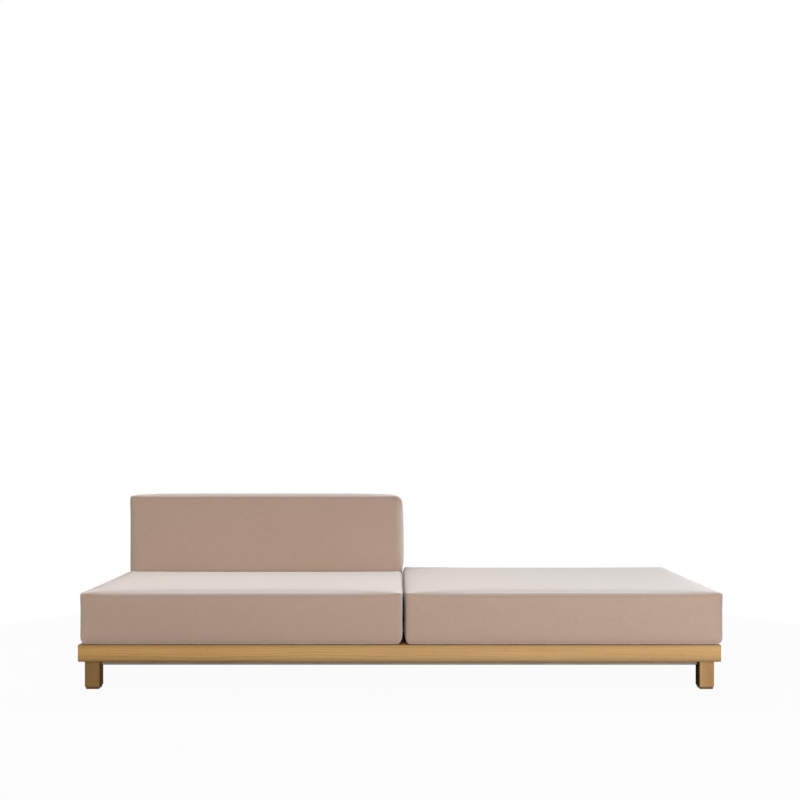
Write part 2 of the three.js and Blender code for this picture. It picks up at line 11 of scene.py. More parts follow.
import bmesh
import bpy
import numpy as np
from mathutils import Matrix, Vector


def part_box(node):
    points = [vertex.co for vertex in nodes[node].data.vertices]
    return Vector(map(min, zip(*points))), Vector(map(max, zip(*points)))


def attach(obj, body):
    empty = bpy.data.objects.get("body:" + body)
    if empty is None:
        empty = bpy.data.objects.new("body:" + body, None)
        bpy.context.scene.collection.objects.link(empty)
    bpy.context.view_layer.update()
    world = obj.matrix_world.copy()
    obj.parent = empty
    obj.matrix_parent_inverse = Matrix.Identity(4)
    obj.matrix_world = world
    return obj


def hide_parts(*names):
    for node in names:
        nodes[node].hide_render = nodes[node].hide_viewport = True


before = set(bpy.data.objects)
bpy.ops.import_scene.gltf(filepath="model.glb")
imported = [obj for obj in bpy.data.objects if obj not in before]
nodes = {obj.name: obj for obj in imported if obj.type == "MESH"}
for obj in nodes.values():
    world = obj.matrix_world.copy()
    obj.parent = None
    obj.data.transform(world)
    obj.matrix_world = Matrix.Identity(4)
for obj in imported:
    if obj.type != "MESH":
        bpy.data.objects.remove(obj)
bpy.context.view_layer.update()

MM = 0.001
print("pieces of joinery and upholstery:", len(nodes))

# %% [markdown]
# ## The camera
# The divan is seen straight from the front with the eye about 0.74 m up, so its uprights stay upright and
# all its depth lines run to one point. That point lies below the middle of the picture. Tilting the camera
# would bend the uprights, so the lens is shifted instead, as on a view camera. The shift is only the
# distance from the picture's centre to that point.

# %% Camera
PICTURE_SIDE = 800  # pixels
VANISHING_POINT = (397.0, 452.5)  # pixels, from the left and from the top
LENS = 50.0  # millimetres, on a sensor 36 mm wide
SENSOR = 36.0
EYE_TO_FRONT = 3.4474  # metres, from the eye to the face of the front rail
EYE_HEIGHT = 0.737
EYE_SIDEWAYS = -0.0134


def put(data, place=(0, 0, 0)):
    """A new object in the scene, named after its data."""
    thing = bpy.data.objects.new(data.name, data)
    bpy.context.scene.collection.objects.link(thing)
    thing.location = place
    return thing


rail_low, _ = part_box("front_rail")
camera_data = bpy.data.cameras.new("front_camera")
camera_data.lens = LENS
camera_data.sensor_width = SENSOR
camera_data.shift_x = 0.5 - VANISHING_POINT[0] / PICTURE_SIDE
camera_data.shift_y = VANISHING_POINT[1] / PICTURE_SIDE - 0.5
camera = put(camera_data, (EYE_SIDEWAYS, rail_low.y - EYE_TO_FRONT, EYE_HEIGHT))
camera.rotation_euler = (math.radians(90), 0, 0)
bpy.context.scene.camera = camera
print("camera at", tuple(round(value, 3) for value in camera.location))

# %% [markdown]
# ## Wiring finishes
# Every finish below is a small network of texture nodes that ends in one shader. A few helpers keep the
# wiring short. The first adds a node and fills its sockets, where a socket given as a value is linked. The
# second starts a finish with its shader, and two others end one: they link its colour and give it its
# relief. Whatever is the same all over a surface stays a plain number on the shader, so that it survives
# the trip to other programs.

# %% Helpers for finishes


def add_node(tree, kind, sockets=None, **settings):
    """A node with its settings and sockets filled; a value that is itself a socket is linked."""
    node = tree.nodes.new(f"ShaderNode{kind}")
    for name, value in settings.items():
        setattr(node, name, value)
    for name, value in (sockets or {}).items():
        if isinstance(value, bpy.types.NodeSocket):
            tree.links.new(value, node.inputs[name])
        else:
            node.inputs[name].default_value = value
    return node


def new_finish(name, **constants):
    """A material whose shader has these plain numbers and colours; returns it, its tree and its shader."""
    material = bpy.data.materials.new(name)
    material.use_nodes = True
    tree = material.node_tree
    shader = tree.nodes["Principled BSDF"]
    for socket, value in constants.items():
        shader.inputs[socket.replace("_", " ")].default_value = value
    return material, tree, shader


def calculate(tree, operation, *values):
    """The result of one step of arithmetic."""
    return add_node(tree, "Math", dict(enumerate(values)), operation=operation).outputs[0]


def calculate_vector(tree, operation, *values):
    """The result of one step of vector arithmetic; lengths and dot products come out as a value."""
    outputs = add_node(tree, "VectorMath", dict(enumerate(values)), operation=operation).outputs
    return outputs["Value" if operation in ("LENGTH", "DOT_PRODUCT") else "Vector"]


def place_in(tree):
    """The place on the piece, in metres."""
    return add_node(tree, "TexCoord").outputs["Object"]


def split(tree, vector):
    """The three parts of a vector."""
    return add_node(tree, "SeparateXYZ", {0: vector}).outputs


def blended(tree, share, first, second):
    """A colour between two others."""
    sockets = {"Factor": share, 6: first, 7: second}
    return add_node(tree, "Mix", sockets, data_type="RGBA").outputs[2]


def stained(tree, colour, mask, share, stain):
    """A colour with this share of a stain over it, where the mask is 1."""
    return blended(tree, calculate(tree, "MULTIPLY", mask, share), colour, stain)


def ramp(tree, value, low, high, kind="SMOOTHSTEP"):
    """A climb from 0 to 1, smooth or in a straight line, while the value goes from low to high."""
    sockets = {"Value": value, "From Min": low, "From Max": high}
    return add_node(tree, "MapRange", sockets, interpolation_type=kind).outputs["Result"]


def linked(tree, shader, **values):
    """Links sockets to the shader's inputs of these names."""
    for socket, value in values.items():
        tree.links.new(value, shader.inputs[socket.replace("_", " ")])


def raised(tree, shader, height, strength, distance, **normal):
    """Gives the shader a relief from a height; distance is how high it stands, in metres."""
    sockets = {"Height": height, "Strength": strength, "Distance": distance, **normal}
    linked(tree, shader, Normal=add_node(tree, "Bump", sockets).outputs[0])


def linear(red, green, blue):
    """A colour as it is read off a screen, 0 to 255, turned into the numbers that a shader takes."""
    shares = [value / 255 for value in (red, green, blue)]
    return (*[s / 12.92 if s <= 0.04045 else ((s + 0.055) / 1.055) ** 2.4 for s in shares], 1.0)


print("a mid grey of 188 is", round(linear(188, 188, 188)[0], 3), "in a shader")

# %% [markdown]
# ## The stage
# The picture is a product shot on white. A white floor that only reflects light would need a flood of it,
# and that light would bleach the cloth. So the floor and the world are white by themselves, but only for
# rays that come from the camera or run through gloss. Near the divan the floor keeps part of its real
# shading, which leaves a soft shadow to stand on.

# %% Floor and background
FLOOR_SIDE = 40.0
SHADOW_ZONE = (1.1, 2.0)  # metres from the middle of the floor, where its shading fades out
SHADOW_DEPTH = 0.05  # share of the floor's look that comes from real light
FLOOR_GREY = (0.14, 0.135, 0.13, 1)
WHITE = (1, 1, 1, 1)


def seen_directly(tree):
    """A socket that is 1 for camera, gloss and glass rays, and 0 for the rays that light things."""
    path = add_node(tree, "LightPath")
    seen = calculate(tree, "MAXIMUM", path.outputs["Is Camera Ray"], path.outputs["Is Glossy Ray"])
    return calculate(tree, "MAXIMUM", seen, path.outputs["Is Transmission Ray"])


def white_floor_finish():
    """White to the eye, with real shading mixed in near the divan."""
    material, tree, shader = new_finish("white_floor")
    tree.nodes.remove(shader)
    far = ramp(tree, calculate_vector(tree, "LENGTH", place_in(tree)), *SHADOW_ZONE)
    pale = add_node(tree, "BsdfDiffuse", {"Color": FLOOR_GREY}).outputs[0]
    lit = add_node(tree, "BsdfDiffuse", {"Color": WHITE}).outputs[0]
    glow = add_node(tree, "Emission", {"Color": WHITE, "Strength": 1.0}).outputs[0]
    glow_share = calculate(tree, "MAXIMUM", far, 1 - SHADOW_DEPTH)
    near = add_node(tree, "MixShader", {0: glow_share, 1: lit, 2: glow}).outputs[0]
    whole = add_node(tree, "MixShader", {0: seen_directly(tree), 1: pale, 2: near}).outputs[0]
    tree.links.new(whole, tree.nodes["Material Output"].inputs["Surface"])
    return material


def add_floor():
    """A flat square at floor level, which isn't part of the divan."""
    half = FLOOR_SIDE / 2
    mesh = bpy.data.meshes.new("floor")
    corners = [(-half, -half, 0), (half, -half, 0), (half, half, 0), (-half, half, 0)]
    mesh.from_pydata(corners, [], [(0, 1, 2, 3)])
    mesh.materials.append(white_floor_finish())
    floor = put(mesh)


add_floor()

WORLD_FILL = 0.06  # how bright the surroundings are for the rays that light things
world = bpy.data.worlds.new("white_room")
bpy.context.scene.world = world
world.use_nodes = True
surroundings = world.node_tree.nodes["Background"]
surroundings.inputs["Color"].default_value = WHITE
to_the_eye = seen_directly(world.node_tree)
brightness = calculate(world.node_tree, "MAXIMUM", to_the_eye, WORLD_FILL)
world.node_tree.links.new(brightness, surroundings.inputs["Strength"])
print("floor of", FLOOR_SIDE, "m, world fill", WORLD_FILL)

# %% [markdown]
# ## The lamps
# The tops of the cushions are far brighter than their fronts, and the right end is a little brighter than
# the left. So the main lamp is a soft box beside the camera, to its right, and a second one hangs high
# behind the divan, where it skims the tops and leaves the fronts alone. A smaller soft box at each end,
# warm on the left and cool on the right, keeps the roundings there from going dark. Cloth looks best in
# such broad light, without hard edges. A narrow spot low on the right, behind the divan, only draws a pale
# rim down the back cushion's right edge; it shines slightly upwards, so that it passes over the seats. The
# camera doesn't see the lamps, so they can stand where the light is wanted.

# %% Lamps
LAMPS = [
    # name, place, point aimed at, width, depth, watts, colour
    ("front_softbox", (1.6, -4.2, 0.9), (0.2, -0.4, 0.25), 2.4, 1.2, 138, (1.0, 0.995, 1.0)),
    ("rear_softbox", (-0.1, 1.9, 2.8), (0, 0, 0.3), 3.4, 1.0, 56, (0.96, 0.95, 1.0)),
    ("right_softbox", (3.2, -2.4, 0.8), (0.9, -0.3, 0.2), 1.2, 1.2, 24, (0.84, 0.96, 1.0)),
    ("left_softbox", (-3.6, -1.3, 0.95), (-0.9, -0.3, 0.2), 1.2, 1.0, 42, (1.0, 0.93, 0.82)),
]
RIM_SPOT = ((3.2, 0.9, 0.36), (0, 0.31, 0.45))  # place, and point aimed at
RIM_WATTS = 240
RIM_ANGLE = math.radians(5.4)
RIM_COLOUR = (0.65, 0.95, 1.0)
RIM_BLUR = 0.5  # share of the cone over which its edge fades
RIM_BULB = 0.05  # metres, the larger the softer its shadows


def hang_lamp(data, place, target, watts, colour):
    """Puts a lamp in its place and turns it to its target."""
    data.energy = watts
    data.color = colour
    lamp = put(data, place)
    lamp.rotation_euler = (Vector(target) - Vector(place)).to_track_quat("-Z", "Y").to_euler()
    lamp.visible_camera = False


for name, place, target, width, depth, watts, colour in LAMPS:
    soft_box = bpy.data.lights.new(name, "AREA")
    soft_box.shape = "RECTANGLE"
    soft_box.size, soft_box.size_y = width, depth
    hang_lamp(soft_box, place, target, watts, colour)
rim_spot = bpy.data.lights.new("rim_spot", "SPOT")
rim_spot.spot_size = RIM_ANGLE
rim_spot.spot_blend = RIM_BLUR
rim_spot.shadow_soft_size = RIM_BULB
hang_lamp(rim_spot, *RIM_SPOT, RIM_WATTS, RIM_COLOUR)
bpy.context.scene.view_settings.view_transform = "Standard"
print("lamps:", [row[0] for row in LAMPS])

# %% [markdown]
# ## Timber
# The platform is an oiled golden hardwood. What the eye reads as wood is three things at three scales:
# growth rings, fibres, and pores. A picture of wood could be wrapped round each board, but it would show
# seams, and its end grain would be wrong. So the finish is a solid block of wood made of formulas: rings
# round a pith that lies beside the board, stretched noise for the fibres, and short dark pores. Each board
# is cut from another place of that block, with the grain along it. A rounding seen only by the shader
# finds the edges, where handling has polished the oil to a lighter tone. The front rail also gets painted
# light: painted shade along its lower edge and under the cushions, a darker left end, and a painted
# highlight that makes it paler towards its right end.

# %% Timber finish
TIMBER_LIGHT = linear(203, 163, 108)
TIMBER_MID = linear(186, 143, 88)
TIMBER_DARK = linear(150, 108, 62)
TIMBER_PORE = linear(112, 76, 40)
TIMBER_EDGE = linear(214, 178, 124)
# Painted shade for the inner sides of the legs.
TIMBER_PAINTED_SHADE = linear(44, 26, 14)
SWAY_RATES, PATCH_RATES = (1.6, 9), (0.9, 16)  # repeats for each metre, along the grain and across it
FIBRE_RATES, PORE_RATES = (5, 420), (42, 1500)
SWAY = 0.02  # metres, how far the rings wander
LATE_WOOD_SHARE, FIBRE_SHARE, PORE_SHARE, WORN_SHARE = 0.34, 0.3, 0.45, 0.35
# The values of the noise, or of the way that a side faces, at which a stain, or a side's painted shade,
# starts and is full.
PATCH_LEVELS, FIBRE_LEVELS, PORE_LEVELS, SIDE_LEVELS = (0.3, 0.7), (0.35, 0.75), (0.62, 0.72), (0.3, 0.9)
TIMBER_ROUGHNESS = (0.2, 0.5)  # what the fibres add, and the least
TIMBER_RELIEF = (0.35, 0.25 * MM)  # strength and height
TIMBER_ROUNDING = 1.6 * MM
LATE_WOOD_POWER = 2.6  # the higher, the narrower the dark part of each ring
RING_PERIODS = 0.314  # metres between rings where the wave texture's scale is 1
EDGE_MATCHES = (0.995, 0.93)  # how well true and rounded normals agree on a face, and on a worn edge
GRAIN_ORDERS = {"X": (0, 1, 2), "Y": (1, 0, 2), "Z": (2, 0, 1)}
# Painted light on the front rail: painted shade by the share of its height, and the tints of its shaded left
# end and lit right end.
RAIL_PAINTED_SHADE = ((0, 0.42), (0.1, 0.54), (0.19, 0.74), (0.4, 0.87), (0.6, 0.98), (0.78, 0.98), (0.9, 0.83), (1, 0.68))
SHADED_END, LIT_END = (0.92, 0.86, 0.7, 1), (1.08, 1.14, 1.17, 1)
RING_GAP = 4.6 * MM


def along_the_grain(tree, centre, grain, pith, tilt):
    """The place in the board, measured from a pith beside it, with its first axis along the grain."""
    parts = split(tree, calculate_vector(tree, "SUBTRACT", place_in(tree), centre))
    ordered = {i: parts[axis] for i, axis in enumerate(GRAIN_ORDERS[grain])}
    turned = add_node(tree, "CombineXYZ", ordered).outputs[0]
    sockets = {"Vector": turned, "Location": pith, "Rotation": tilt}
    return add_node(tree, "Mapping", sockets).outputs[0]


def stretched_noise(tree, place, along, across, detail):
    """Noise drawn out along the grain, in repeats for each metre."""
    squeezed = add_node(tree, "Mapping", {"Vector": place, "Scale": (along, across, across)})
    sockets = {"Vector": squeezed.outputs[0], "Scale": 1.0, "Detail": detail, "Roughness": 0.55}
    return add_node(tree, "TexNoise", sockets).outputs[0]


def edge_share(tree, radius):
    """A socket near 1 on a piece's edges and 0 on its faces."""
    rounded = add_node(tree, "Bevel", {"Radius": radius}, samples=6).outputs[0]
    true_normal = add_node(tree, "NewGeometry").outputs["Normal"]
    match = calculate_vector(tree, "DOT_PRODUCT", rounded, true_normal)
    return ramp(tree, match, *EDGE_MATCHES), rounded


def rail_painted_light(tree, low, high):
    """Painted light for the front rail: painted shade along its lower and upper edges, and a painted
    highlight that pales it towards its right end.
    """
    x, _, z = split(tree, place_in(tree))
    painted_shade = add_node(tree, "ValToRGB", {"Fac": ramp(tree, z, low.z, high.z, "LINEAR")})
    stops = painted_shade.color_ramp.elements
    stops[0].position, stops[1].position = RAIL_PAINTED_SHADE[0][0], RAIL_PAINTED_SHADE[-1][0]
    for position, _ in RAIL_PAINTED_SHADE[1:-1]:
        stops.new(position)
    for stop, (_, value) in zip(stops, RAIL_PAINTED_SHADE):
        stop.color = (value, value, value, 1)
    tint = blended(tree, ramp(tree, x, low.x, high.x, "LINEAR"), SHADED_END, LIT_END)
    return calculate_vector(tree, "MULTIPLY", painted_shade.outputs["Color"], tint)


def painted_shade_side(tree, colour, side, share):
    """The colour, with painted shade on one side that faces along X."""
    x = split(tree, add_node(tree, "TexCoord").outputs["Normal"])[0]
    there = ramp(tree, calculate(tree, "MULTIPLY", x, side), *SIDE_LEVELS)
    return stained(tree, colour, there, share, TIMBER_PAINTED_SHADE)


def timber_finish(name, centre, grain, seed, tone, depth, gloss, rail=None, dark=None):
    """Wood cut from its own place of the block. A low tone is a dark board, a low depth a grey one; rail and
    dark add painted light and shade.
    """
    dice = np.random.default_rng(seed)
    pith = (dice.uniform(-3, 3), dice.uniform(0.03, 0.075), dice.uniform(0.012, 0.05))
    tilt = (0, math.radians(dice.uniform(-0.9, 0.9)), math.radians(dice.uniform(-0.9, 0.9)))
    material, tree, shader = new_finish(name, Specular_IOR_Level=gloss)
    place = along_the_grain(tree, centre, grain, pith, tilt)
    sway = stretched_noise(tree, place, *SWAY_RATES, 1.5)
    amount = calculate(tree, "MULTIPLY_ADD", sway, SWAY, -SWAY / 2)
    spread = add_node(tree, "CombineXYZ", {1: amount, 2: amount}).outputs[0]
    swayed = calculate_vector(tree, "ADD", place, spread)
    sockets = {"Vector": swayed, "Scale": RING_PERIODS / RING_GAP}
    settings = {"wave_type": "RINGS", "rings_direction": "X", "wave_profile": "SIN"}
    rings = add_node(tree, "TexWave", sockets, **settings).outputs[0]
    late_wood = calculate(tree, "POWER", rings, LATE_WOOD_POWER)
    fibres = stretched_noise(tree, place, *FIBRE_RATES, 3)
    patches = stretched_noise(tree, place, *PATCH_RATES, 2)
    pores = ramp(tree, stretched_noise(tree, place, *PORE_RATES, 1), *PORE_LEVELS)
    ground = blended(tree, ramp(tree, patches, *PATCH_LEVELS), TIMBER_MID, TIMBER_LIGHT)
    colour = stained(tree, ground, late_wood, LATE_WOOD_SHARE, TIMBER_DARK)
    colour = stained(tree, colour, ramp(tree, fibres, *FIBRE_LEVELS), FIBRE_SHARE, TIMBER_DARK)
    colour = stained(tree, colour, pores, PORE_SHARE, TIMBER_PORE)
    edges, rounded = edge_share(tree, TIMBER_ROUNDING)
    colour = stained(tree, colour, edges, WORN_SHARE, TIMBER_EDGE)
    # Painted light on the front rail: painted shade at its edges and a painted highlight to the right.
    if rail:
        colour = calculate_vector(tree, "MULTIPLY", colour, rail_painted_light(tree, *rail))
    # Painted shade on one side of a leg.
    if dark:
        colour = painted_shade_side(tree, colour, *dark)
    sockets = {"Color": colour, "Value": tone, "Saturation": depth}
    toned = add_node(tree, "HueSaturation", sockets).outputs[0]
    roughness = calculate(tree, "MULTIPLY_ADD", fibres, *TIMBER_ROUGHNESS)
    linked(tree, shader, Base_Color=toned, Roughness=roughness)
    relief = calculate(tree, "SUBTRACT", calculate(tree, "MULTIPLY", fibres, 0.4), pores)
    raised(tree, shader, relief, *TIMBER_RELIEF, Normal=rounded)
    return material


def dress(name, finish):
    """Gives a piece of the joinery its finish."""
    for slot in nodes[name].material_slots:
        slot.material = finish


# %% [markdown]
# ## Each board's own cut
# Grain always runs along a board, because wood is strong that way and splits the other way. The grain is
# therefore read off the piece itself: it follows the longest side of its box. The left front leg and the
# bearer behind the rail get low tones that are painted shade, and the bearer is greyed as well. The inner
# sides of the two front legs get painted shade, darkest on the right leg.

# %% Dress the timber
TIMBER_WORDS = ("rail", "leg", "bearer", "slat", "post")
# Tones of single boards. The low tones of the left front leg and the bearer, and the bearer's low depth, are
# painted shade.
BOARD_TONES_AND_SHADE = {
    "front_rail": 1.14,
    "front_left_leg": 0.55,
    "front_right_leg": 0.88,
    "front_bearer": 0.7,
    "left_end_rail": 0.95,
}
BOARD_DEPTHS_AND_SHADE = {"front_bearer": 0.55, "front_right_leg": 0.94}
FACE_GLOSS, BOARD_GLOSS, LEG_GLOSS = 0.4, 0.2, 0.0  # the front rail is rubbed to a soft shine
# Painted shade on the legs' inner sides: the side that it falls on, and how dark it is.
SHADED_INNER_SIDES = {"front_left_leg": (1, 0.55), "front_right_leg": (-1, 0.8)}  # the side, and how dark it is


def is_timber(name):
    """Rails, legs, bearers, slats and posts are timber, but the legs' screws and glides aren't."""
    return any(word in name for word in TIMBER_WORDS) and "screw" not in name and "glide" not in name


timber_names = [name for name in sorted(nodes) if is_timber(name)]
for seed, name in enumerate(timber_names):
    low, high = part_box(name)
    size = high - low
    grain = "XYZ"[max(range(3), key=lambda axis: size[axis])]
    gloss = LEG_GLOSS if "leg" in name else BOARD_GLOSS
    look = {"tone": BOARD_TONES_AND_SHADE.get(name, 1), "depth": BOARD_DEPTHS_AND_SHADE.get(name, 1), "gloss": gloss}
    if name == "front_rail":
        look.update(gloss=FACE_GLOSS, rail=(low, high))
    elif name in SHADED_INNER_SIDES:
        look["dark"] = SHADED_INNER_SIDES[name]
    dress(name, timber_finish(f"timber_{name}", (low + high) / 2, grain, seed, **look))
print("timber pieces dressed:", len(timber_names))

# %% [markdown]
# ## Screws and glides
# Each leg is held by two coach screws with six-sided heads, and stands on a square pad of dark nylon. The
# screws are zinc-plated: a soft, slightly blue metal with fine scratches and a cloudy plating. The pads are
# moulded, so they have a faint grain and are scuffed pale on their edges by the floor.

# %% Steel and nylon
ZINC = linear(196, 198, 200)
ZINC_CLOUD = linear(150, 153, 158)
NYLON = linear(98, 66, 40)
NYLON_SCUFF = linear(132, 100, 70)
CLOUD_RATE, SCRATCH_RATE = 140, 2200  # repeats for each metre, on zinc
SCUFF_RATE, MOULD_RATE = 260, 1800  # the same, on nylon
CLOUD_LEVELS, SCUFF_LEVELS = (0.35, 0.7), (0.4, 0.65)
ZINC_ROUGHNESS, NYLON_ROUGHNESS = (0.2, 0.28), (0.25, 0.4)
ZINC_RELIEF, NYLON_RELIEF = (0.2, 0.05 * MM), (0.25, 0.08 * MM)
ZINC_ROUNDING, NYLON_ROUNDING = 0.4 * MM, 1.0 * MM


def object_noise(tree, scale, detail=2.0):
    """Noise fixed to the piece, in repeats for each metre."""
    sockets = {"Vector": place_in(tree), "Scale": scale, "Detail": detail}
    return add_node(tree, "TexNoise", sockets).outputs[0]


def zinc_finish():
    """Plated steel."""
    material, tree, shader = new_finish("zinc_plated_steel", Metallic=1.0)
    cloud = ramp(tree, object_noise(tree, CLOUD_RATE, 4), *CLOUD_LEVELS)
    roughness = calculate(tree, "MULTIPLY_ADD", cloud, *ZINC_ROUGHNESS)
    linked(tree, shader, Base_Color=blended(tree, cloud, ZINC, ZINC_CLOUD), Roughness=roughness)
    _, rounded = edge_share(tree, ZINC_ROUNDING)
    raised(tree, shader, object_noise(tree, SCRATCH_RATE), *ZINC_RELIEF, Normal=rounded)
    return material


def nylon_finish():
    """Moulded dark nylon, scuffed on its edges."""
    material, tree, shader = new_finish("dark_nylon", Specular_IOR_Level=0.4)
    edges, rounded = edge_share(tree, NYLON_ROUNDING)
    rubbed = ramp(tree, object_noise(tree, SCUFF_RATE), *SCUFF_LEVELS)
    scuffs = calculate(tree, "MULTIPLY", edges, rubbed)
    grain = object_noise(tree, MOULD_RATE)
    roughness = calculate(tree, "MULTIPLY_ADD", grain, *NYLON_ROUGHNESS)
    linked(tree, shader, Base_Color=blended(tree, scuffs, NYLON, NYLON_SCUFF), Roughness=roughness)
    raised(tree, shader, grain, *NYLON_RELIEF, Normal=rounded)
    return material


zinc = zinc_finish()
nylon = nylon_finish()
for name in nodes:
    if "leg_screw" in name:
        dress(name, zinc)
    elif "glide" in name:
        dress(name, nylon)
print("coach screws and glides dressed")

# %% [markdown]
# ## Cloth
# The covers are a matt, tightly woven upholstery cloth in a warm rose beige. Seen square on it shows its
# own colour. Seen along the surface, the fine hairs of the yarn catch the light and the cloth turns pale,
# which is why the tops look almost white from the front. The shader's sheen does this from every side. The
# weave itself is a product of two waves, one for each set of threads, and thick and thin threads come from
# stretched noise. Which two axes the threads follow depends on where the cloth faces.

# %% Cloth finish
CLOTH = linear(187, 160, 143)
CLOTH_DEEP = linear(168, 140, 123)
CLOTH_PALE = linear(198, 174, 159)
THREAD_CONTRAST, HOLLOW_CONTRAST = 0.35, 0.35
THREAD_GAP = 1.3 * MM
THREAD_RATES = (30, 700)  # repeats of thick and thin for each metre, along a thread and across it
TURNING_TILT = 0.72  # cloth that faces an axis by more than this counts as facing it
WEAR_RATE, WEAR_LEVELS = 5, (0.3, 0.7)  # broad patches that have been rubbed pale
PALENESS = (0.16, 0.1)  # what the patches add, and the least
THIN_LEVELS, HOLLOW_LEVELS = (0.62, 0.38), (0.3, -0.9)
CLOTH_RELIEF = (0.4, 0.22 * MM)


def cloth_directions(tree):
    """Two sockets, the place across the cloth and up it, for cloth that faces up, forwards or sideways."""
    x, y, z = split(tree, place_in(tree))
    facing = split(tree, add_node(tree, "TexCoord").outputs["Normal"])
    tilts = [calculate(tree, "ABSOLUTE", facing[axis]) for axis in (0, 2)]
    sideways, upwards = [calculate(tree, "GREATER_THAN", tilt, TURNING_TILT) for tilt in tilts]
    across = add_node(tree, "Mix", {0: sideways, 2: x, 3: y}).outputs[0]
    up = add_node(tree, "Mix", {0: upwards, 2: z, 3: y}).outputs[0]
    return across, up


def thread_wave(tree, place):
    """A wave with one crest for each thread."""
    return calculate(tree, "SINE", calculate(tree, "MULTIPLY", place, 2 * math.pi / THREAD_GAP))


def thread_noise(tree, across, up, across_rate, up_rate):
    """Noise drawn out along one set of threads."""
    u = calculate(tree, "MULTIPLY", across, across_rate)
    v = calculate(tree, "MULTIPLY", up, up_rate)
    place = add_node(tree, "CombineXYZ", {0: u, 1: v}).outputs[0]
    return add_node(tree, "TexNoise", {"Vector": place, "Scale": 1.0, "Detail": 2.0}).outputs[0]


def cloth_finish():
    """Woven upholstery cloth with a soft nap."""
    constants = {"Roughness": 0.92, "Specular_IOR_Level": 0.2, "Sheen_Weight": 1.0, "Sheen_Roughness": 0.5}
    material, tree, shader = new_finish("woven_cloth", Sheen_Tint=(1.0, 0.985, 0.97, 1), **constants)
    across, up = cloth_directions(tree)
    weave = calculate(tree, "MULTIPLY", thread_wave(tree, across), thread_wave(tree, up))
    long_threads = thread_noise(tree, across, up, *THREAD_RATES)
    cross_threads = thread_noise(tree, across, up, *reversed(THREAD_RATES))
    half_cross = calculate(tree, "MULTIPLY", cross_threads, 0.5)
    threads = calculate(tree, "MULTIPLY_ADD", long_threads, 0.5, half_cross)
    worn = ramp(tree, object_noise(tree, WEAR_RATE, 3), *WEAR_LEVELS)
    ground = blended(tree, calculate(tree, "MULTIPLY_ADD", worn, *PALENESS), CLOTH, CLOTH_PALE)
    thin = ramp(tree, threads, *THIN_LEVELS)
    threaded = stained(tree, ground, thin, THREAD_CONTRAST, CLOTH_DEEP)
    # The hollows of the weave are painted darker: painted shade between the threads.
    hollows = ramp(tree, weave, *HOLLOW_LEVELS)
    linked(tree, shader, Base_Color=stained(tree, threaded, hollows, HOLLOW_CONTRAST, CLOTH_DEEP))
    raised(tree, shader, calculate(tree, "MULTIPLY_ADD", weave, 0.5, threads), *CLOTH_RELIEF)
    return material


cloth = cloth_finish()
print("cloth finish with a thread each", THREAD_GAP * 1000, "mm")

# %% [markdown]
# ## The pattern of a box cushion
# A box cushion is a top panel, a bottom panel and a border strip, sewn together along the edges. Carving a
# box would lose the seams, so the cover is laid out as a net of small squares in which the seams are real
# lines. The net starts as a box. Its edges are then rounded by moving each point along its own diagonal,
# which keeps the squares even, and last the border swells, the top seams draw in between the corners, and
# the top gets its crown. The sizes are read off the plain cushion of the joinery file.
#
# No end of a cushion is like its middle. Cloth is pulled tightest at the corners, so the top edge of a
# seat is rounder in the middle than at its ends. Where the seats meet they press each other flat, and
# a free end stays a little fuller. The back cushion's right end swells out over the right seat, but only
# above the height at which that seat holds it in.

# %% Cushion patterns
# Millimetres from an edge to its first lines. The tight roundings, 6.6, 8.4 and 12, each end on a line.
EDGE_STEPS = (0, 1.8, 4, 6.6, 8.4, 12, 17, 22)
BOTTOM_STEPS = (0, 1.8, 4, 6.6, 8.4, 12, 19)
NET_PITCH = 12.0
SEAM_FADE = 45.0  # how far the draw-in of a seam reaches into a panel
SEAT = {
    "top_radius": 24, "free_top_radius": 8.4, "pressed_top_radius": 6.6, "pressed_rounding": 10,
    "crown": 4, "crown_powers": (6, 6), "draw_in": 2.5, "press": 5.75,
    "swell": 1.0, "top_swell": 2.0, "fill": 0.9,
}
# All in millimetres, but for the powers, the fill and the side that is pressed, 1 for the right.
CUSHIONS = {
    "left_seat": {**SEAT, "bulge": {"front": 3, "rear": 0, "end": 3}, "pressed_end": 1},
    "right_seat": {**SEAT, "bulge": {"front": 3, "rear": 3, "end": 3}, "pressed_end": -1},
    "back_cushion": {
        "top_radius": 20, "free_top_radius": 12, "pressed_top_radius": 30, "pressed_rounding": 24,
        "crown": 5, "crown_powers": (3, 6), "draw_in": 3, "press": 0.2, "overhang": 5.5,
        "swell": 1.2, "top_swell": 2.0, "fill": 0.8,
        "bulge": {"front": 6, "rear": 0, "end": 2}, "pressed_end": 1,
    },
}
BOTTOM_RADIUS = 19
PLAN_RADIUS = 22
WAIST_ROUNDING = 12  # how much rounder the upright edges are at half height
TIGHTENING = 36.0  # the length over which the top edge changes its rounding towards an end
TIGHTENING_START = 1.2  # from the end, in such lengths, so the change is complete 0.2 of one before the end
BULGE_POWER, DRAW_POWER, PRESS_POWER, PRESS_RISE_POWER = 4, 2, 8, 30  # higher is flatter in the middle
END_PUFF = 2.4  # how much fuller the free ends are than the plain cushions, corners included
OVERHANG_START, OVERHANG_FULL, OVERHANG_MIDDLE = 150, 195, 250  # heights in the back cushion


def spaced(half, steps):
    """Net lines from -half to half: fine steps at both ends and even ones between."""
    inner = half - steps[-1]
    count = max(2, round(2 * inner / NET_PITCH))
    start = [step - half for step in steps[:-1]]
    return np.array([*start, *np.linspace(-inner, inner, count + 1), *[-value for value in reversed(start)]])


def net_levels(height, top_steps):
    """Net lines from the bottom seam up to the top seam."""
    low, high = BOTTOM_STEPS[-1], height - top_steps[-1]
    count = max(2, round((high - low) / NET_PITCH))
    middle = np.linspace(low, high, count + 1)
    return np.array([*BOTTOM_STEPS[:-1], *middle, *[height - step for step in reversed(top_steps[:-1])]])


